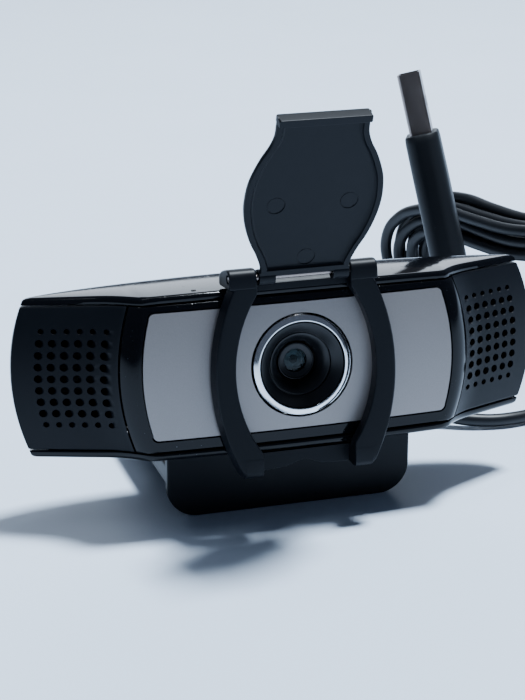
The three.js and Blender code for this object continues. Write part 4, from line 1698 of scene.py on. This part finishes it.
TURNS = (
    Turn(14.35, 1.0, 4.6, 2.4, 3.9, 0.9),
    Turn(14.35, 0.0, 2.6, 2.2, 3.6, 0.8),
    Turn(14.35, -1.0, 1.0, 0.4, 2.6, 0.8),
    Turn(11.7, -1.0, 0.2, 2.2, 4.0, -0.9),
    Turn(11.7, 0.0, 1.6, 2.4, 3.7, -1.0),
    Turn(11.7, 1.0, 3.2, 2.3, 4.1, -0.9),
    Turn(9.1, 1.0, 1.8, 2.1, 3.9, 0.7),
    Turn(9.1, 0.0, 0.2, 2.3, 4.2, 0.9),
    Turn(9.1, -1.0, -1.2, 2.0, 3.8, 0.6),
)
EXIT = Turn(6.4, -1.0, 0.0, 0.0, 0.0, 0.0)


@dataclass
class Cable:
    """The USB cable: out of the gland, wound into a hank, and up into its plug."""

    radius: float = 1.25
    length: float = 1830.0
    outer: float = 15.7
    run: float = 52.0
    bundle: float = 8.0
    far: Pair = (63.8, 88.2)
    heading: float = 63.0
    tie_at: float = 37.0
    grip: float = 28.0
    shell: float = 12.3
    gap: float = 0.3
    start: Place = (24.0, 28.37, 21.5)
    seed: int = 11
    clearance: float = 0.12
    loop_steps: int = 7

    def hank_point(self, along: float, across: float, up: float) -> Place:
        """A place in the hank.

        Args:
            along: the place along it, from its far end to its near end.
            across: the place across it.
            up: the height above the surface.

        Returns:
            The point.
        """
        angle = math.radians(self.heading)
        dx, dy = math.cos(angle), -math.sin(angle)
        return (self.far[0] + along * dx + across * dy, self.far[1] + along * dy - across * dx, up)

    def turns(self) -> list[Place]:
        """The points of the wound part, one loop after another.

        Returns:
            The points.
        """
        chance = random.Random(self.seed)
        points = []
        for turn, follow in zip(TURNS, (*TURNS[1:], EXIT)):
            points += self.lower_run(turn, chance)
            points += self.far_loop(turn)
            points += self.upper_run(turn, chance)
            points += self.near_loop(turn, follow)
        return points

    @property
    def pitch(self) -> float:
        """The distance between two lanes of the hank."""
        return 2 * self.radius + self.clearance

    def lower_run(self, turn: Turn, chance: random.Random) -> list[Place]:
        """The points along the bottom of one turn, towards its far end.

        Args:
            turn: the turn that is laid.
            chance: the source of its small strays.

        Returns:
            Three points.
        """
        side, up = turn.lane * self.pitch, self.outer - turn.radius
        return [
            self.hank_point(along, side + chance.uniform(-0.12, 0.12) - turn.lean, up)
            for along in (31.0, 20.0, 9.0)
        ]

    def far_loop(self, turn: Turn) -> list[Place]:
        """The points round the far end of one turn, whose upper half slumps.

        Args:
            turn: the turn that is laid.

        Returns:
            One point for each step from the bottom to the top.
        """
        points = []
        for step in range(self.loop_steps + 1):
            angle = math.pi * step / self.loop_steps
            high = turn.radius - (turn.slump if step > self.loop_steps // 2 else 0.0)
            back = -(turn.radius + turn.reach) * math.sin(angle)
            lean = turn.lean * (2 * step / self.loop_steps - 1)
            up = self.outer - high * math.cos(angle)
            points.append(self.hank_point(back, turn.lane * self.pitch + lean, up))
        return points

    def upper_run(self, turn: Turn, chance: random.Random) -> list[Place]:
        """The points along the top of one turn, which sags between its far end and the tie.

        Args:
            turn: the turn that is laid.
            chance: the source of its small strays.

        Returns:
            Five points.
        """
        points = []
        for along, share in ((8.0, 1.0), (17.0, 1.0), (25.0, 0.62), (33.0, 0.12), (42.0, 0.0)):
            sag = turn.sag * share
            if share == 1.0:
                sag = turn.slump + (turn.sag - turn.slump) * min(1.0, along / 12)
            wander = chance.uniform(-0.2, 0.2)
            ease = turn.lean * max(0.0, 1 - along / 33)
            up = self.outer + turn.radius - sag
            points.append(self.hank_point(along, turn.lane * self.pitch + ease + wander, up))
        return points

    def near_loop(self, turn: Turn, follow: Turn) -> list[Place]:
        """The points round the near end of one turn, which change to the next one's lane and radius.

        Args:
            turn: the turn that is laid.
            follow: the turn after it.

        Returns:
            One point for each step from the top to the bottom.
        """
        points = []
        side = turn.lane * self.pitch
        shift, growth = follow.lane * self.pitch - side, follow.radius - turn.radius
        for step in range(self.loop_steps + 1):
            part = step / self.loop_steps
            angle = math.pi * part
            wide = turn.radius + growth * max(0.0, part * 1.4 - 0.4)
            across = side + shift * part - follow.lean * max(0.0, part - 0.5)
            up = self.outer + wide * math.cos(angle)
            points.append(self.hank_point(self.run + wide * math.sin(angle), across, up))
        return points

    def eased(self, points: list[Place]) -> list[Place]:
        """Draws each point a little towards its neighbours.

        Args:
            points: the points; the first and the last stay.

        Returns:
            The eased points.
        """
        inner = [
            tuple(0.2 * a + 0.6 * b + 0.2 * c for a, b, c in zip(*three))
            for three in zip(points, points[1:], points[2:])
        ]
        return [points[0], *inner, points[-1]]

    def route(self) -> list[Place]:
        """Every point of the cable from the gland to the plug.

        Returns:
            The points.
        """
        lead = [
            self.start, (24.2, 32.0, 20.6), (26.0, 36.4, 16.5), (29.5, 38.6, 10.2), (34.0, 37.0, 4.8),
            (39.5, 33.4, 2.0), (46.0, 30.2, 1.5), (53.0, 29.6, 1.45), (60.0, 32.0, 1.45),
            (66.7, 35.9, 1.4), (72.4, 40.9, 1.35), (76.2, 46.8, 1.35), (77.3, 53.2, 1.35),
        ]
        last = [
            self.hank_point(41.0, -2.3, 9.5), self.hank_point(33.0, -1.2, 9.8),
            self.hank_point(25.5, 1.6, 9.9), self.hank_point(20.5, 6.2, 8.0), (64.8, 66.0, 5.0),
            (60.6, 64.2, 4.6), (57.2, 62.6, 6.6), (55.1, 62.0, 9.8), (54.38, 62.36, 12.96),
        ]
        return self.eased(lead + self.turns() + last)

    def cord(self) -> bpy.types.Object:
        """The cable as one smooth spline.

        Returns:
            The new object.
        """
        data = bpy.data.curves.new("usb_cord", "CURVE")
        data.dimensions = "3D"
        data.bevel_depth = self.radius / 1000
        data.bevel_resolution = 5
        data.resolution_u = 6
        data.use_fill_caps = True
        spline = data.splines.new("BEZIER")
        place = Matrix.Scale(0.001, 4) @ PLACES.stand
        route = [place @ Vector(p) for p in self.route()]
        spline.bezier_points.add(len(route) - 1)
        for knot, point in zip(spline.bezier_points, route):
            knot.co = point
            knot.handle_left_type = knot.handle_right_type = "AUTO"
        data.materials.append(Wardrobe.get(Slot.CABLE))
        nodes = ("usb_cable", "cable_hank", "plug_lead")
        return carried(linked("usb_cord", data), "camera", nodes)

    def strap(self) -> bpy.types.Object:
        """The tie closed round the hank's upper run, with its tongue lapped over.

        Returns:
            The new object.
        """
        high = 2 * self.outer
        low = high - self.bundle
        half = self.bundle / 2 + self.gap
        outer = rounded(-half - 0.9, half + 0.9, low - self.gap - 0.9, high + self.gap + 0.9, 2.6, 10)
        inner = rounded(-half, half, low - self.gap, high + self.gap, 1.8, 10)
        lap = rounded(-half - 0.6, half - 1.0, high + self.gap + 0.6, high + self.gap + 1.6, 0.3, 4)
        band = Form.prism(outer, Axis.X, -3.5, 3.5)
        hole = Form.prism(inner, Axis.X, -5.0, 5.0)
        tongue = Form.prism(lap, Axis.X, -2.8, 2.8)
        band = band.cut(hole).joined(tongue).bevelled(0.18, 2)
        end = Matrix.Translation((*self.far, 0)) @ Matrix.Rotation(-math.radians(self.heading), 4, "Z")
        place = PLACES.stand @ (end @ Matrix.Translation((self.tie_at, 0, 0)))
        return band.piece("cable_strap", place, Slot.RUBBER, "camera", "cable_tie", even=True)

    def plug(self) -> list[bpy.types.Object]:
        """The plug: a rubber grip with a ribbed boot, a folded steel shell and its tongue."""
        return [self.plug_grip(), *self.plug_metal()]

    def plug_grip(self) -> bpy.types.Object:
        """The rubber grip and its boot as one piece.

        Returns:
            The new object.
        """
        levels = (
            (0.0, 0.9), (0.15, 0.45), (0.6, 0.1), (1.4, 0.0), (20.0, 0.0), (26.5, 0.05), (27.6, 0.15),
            (27.9, 0.35), (28.0, 0.7),
        )
        rings = []
        for z, inset in levels:
            x, y = 3.5 - inset, 7.9 - inset
            rings.append([(a, b, z) for a, b in rounded(-x, x, -y, y, 2.8 - inset, 9)])
        grip = Form.rings(rings)
        boot = [(0.0, 0.4), (3.2, 0.4)]
        for i in range(6):
            z, r = -1.0 - i * 1.3, 3.1 - i * 0.2
            boot += [(r, z + 0.45), (r, z - 0.35), (r - 0.55, z - 0.45), (r - 0.6, z - 0.8)]
        boot += [(1.9, -8.8), (1.8, -9.0), (0.0, -9.0)]
        whole = grip.joined(Form.turned(boot, 40, Axis.Z))
        return whole.piece("plug_grip", PLACES.plug, Slot.RUBBER, "camera", "plug_body", smooth=35)

    def plug_metal(self) -> list[bpy.types.Object]:
        """The plug's steel shell, its tongue and the four contacts on it.

        Returns:
            The new objects.
        """
        place = PLACES.plug
        low, tip = self.grip, self.grip + self.shell
        outside = Form.prism(rounded(-2.25, 2.25, -6, 6, 0.65, 6), Axis.Z, low - 0.2, tip)
        inside = Form.prism(rounded(-1.93, 1.93, -5.68, 5.68, 0.35, 6), Axis.Z, low + 1.2, tip + 1)
        shell = outside.cut(inside)
        for y in (-2.8, 2.8):
            shell = shell.cut(Form.box((-3, y - 1.1, low + 5), (3, y + 1.1, low + 7.2)))
        shell = shell.cut(Form.box((-2.4, -0.05, low), (-1.8, 0.05, tip + 1)))
        steel = shell.piece("plug_socket_shell", place, Slot.STEEL, "camera", "plug_shell", smooth=35)
        blade = Form.box((-1.6, -5.2, low + 1.5), (0.1, 5.2, tip - 0.4)).bevelled(0.2)
        tongue = blade.piece("plug_blade", place, Slot.CHIP, "camera", "plug_tongue")
        contacts = []
        for i in range(4):
            y = -3.5 + i * 2.333
            end = tip - 1.2 - (0.8 if i in (1, 2) else 0.0)
            strip = Form.box((0.08, y - 0.5, low + 2.5), (0.2, y + 0.5, end))
            contacts.append(strip.piece(f"plug_contact_{i + 1}", place, Slot.BRASS, "camera"))
        return [steel, tongue, *contacts]

    def gland(self) -> None:
        """The tapered strain relief at the housing, with ribs."""
        profile = [(0.0, -2.2), (2.3, -2.2), (2.3, 0.8), (2.75, 1.0), (2.7, 1.9)]
        for i in range(4):
            y, r = 2.3 + i * 1.1, 2.5 - i * 0.2
            profile += [(r - 0.35, y - 0.1), (r - 0.35, y + 0.2), (r, y + 0.3), (r - 0.04, y + 0.8)]
        profile += [(1.65, 6.8), (1.55, 7.0), (0.0, 7.0)]
        made = Form.turned(profile, 48).moved(Housing.gland)
        made.piece("strain_relief", PLACES.camera, Slot.RUBBER, "camera", "cable_gland", smooth=35)

    def build(self) -> None:
        """Makes the cable, its tie, its plug and the strain relief."""
        made = self.cord()
        tie = self.strap()
        ends = self.plug()
        self.gland()


# ---------------------------------------------------------------- studio


@dataclass
class Studio:
    """The viewpoint, the floor and the lights."""

    azimuth: float = 16.957
    elevation: float = 19.221
    distance: float = 341.25
    right: float = -6.704
    up: float = 2.526
    lens: float = 104.667
    floor_half: float = 4.0
    aim_height: float = 0.02
    room: Colour = (0.55, 0.68, 0.95)
    room_strength: float = 0.13

    def viewpoint(self) -> None:
        """Sets the scene's camera."""
        a, e = math.radians(self.azimuth), math.radians(self.elevation)
        right = Vector((math.cos(a), -math.sin(a), 0))
        ahead = Vector((math.sin(a) * math.cos(e), math.cos(a) * math.cos(e), -math.sin(e)))
        above = right.cross(ahead)
        aim = Vector((0, PLACES.lens_y, PLACES.lens_height))
        data = bpy.data.cameras.new("viewpoint")
        data.lens, data.sensor_width = self.lens, 36.0
        data.clip_start, data.clip_end = 0.01, 20.0
        seat = linked("viewpoint", data)
        seat.location = (aim - ahead * self.distance + right * self.right + above * self.up) / 1000
        seat.rotation_euler = Matrix((right, above, -ahead)).transposed().to_euler()
        bpy.context.scene.camera = seat

    def floor(self) -> None:
        """Lays the pale surface."""
        mesh = bpy.data.meshes.new("floor")
        far = self.floor_half
        corners = [(-far, -far, 0), (far, -far, 0), (far, far, 0), (-far, far, 0)]
        mesh.from_pydata(corners, [], [(0, 1, 2, 3)])
        mesh.materials.append(Paper().material())
        linked("floor", mesh)

    def light(
        self, name: str, place: Point, wide: float, deep: float, power: float, colour: Colour
    ) -> None:
        """Adds one soft light aimed at the webcam.

        Args:
            name: its name.
            place: where it stands, in metres.
            wide: its width in metres.
            deep: its other side in metres.
            power: its power in watts.
            colour: its colour.
        """
        data = bpy.data.lights.new(name, "AREA")
        data.shape = "RECTANGLE"
        data.size, data.size_y, data.energy, data.color = wide, deep, power, colour
        made = linked(name, data)
        made.location = place
        ray = Vector((0, 0, self.aim_height)) - Vector(place)
        made.rotation_euler = ray.to_track_quat("-Z", "Y").to_euler()

    def build(self) -> None:
        """Sets up the studio."""
        self.viewpoint()
        self.floor()
        self.light("back_window", (0.2, 2.4, 0.75), 2.4, 1.2, 24.0, (0.78, 0.88, 1.0))
        self.light("key", (0.31, 0.1, 1.2), 0.18, 0.18, 42.0, (0.8, 0.9, 1.0))
        self.light("ceiling", (-0.1, 0.16, 1.4), 1.5, 0.06, 2.6, (0.8, 0.9, 1.0))
        world = bpy.data.worlds.new("room")
        world.use_nodes = True
        sky = world.node_tree.nodes["Background"]
        sky.inputs["Color"].default_value = (*self.room, 1.0)
        sky.inputs["Strength"].default_value = self.room_strength
        bpy.context.scene.world = world


def main() -> None:
    """Builds every sub-assembly in order."""
    logging.basicConfig(level=logging.INFO, format="%(name)s: %(message)s")
    for part in (Studio(), Cable(), Housing(), Optics(), Shutter(), Clip()):
        part.build()
        log.info("%s done", type(part).__name__)


if __name__ == "__main__":
    main()
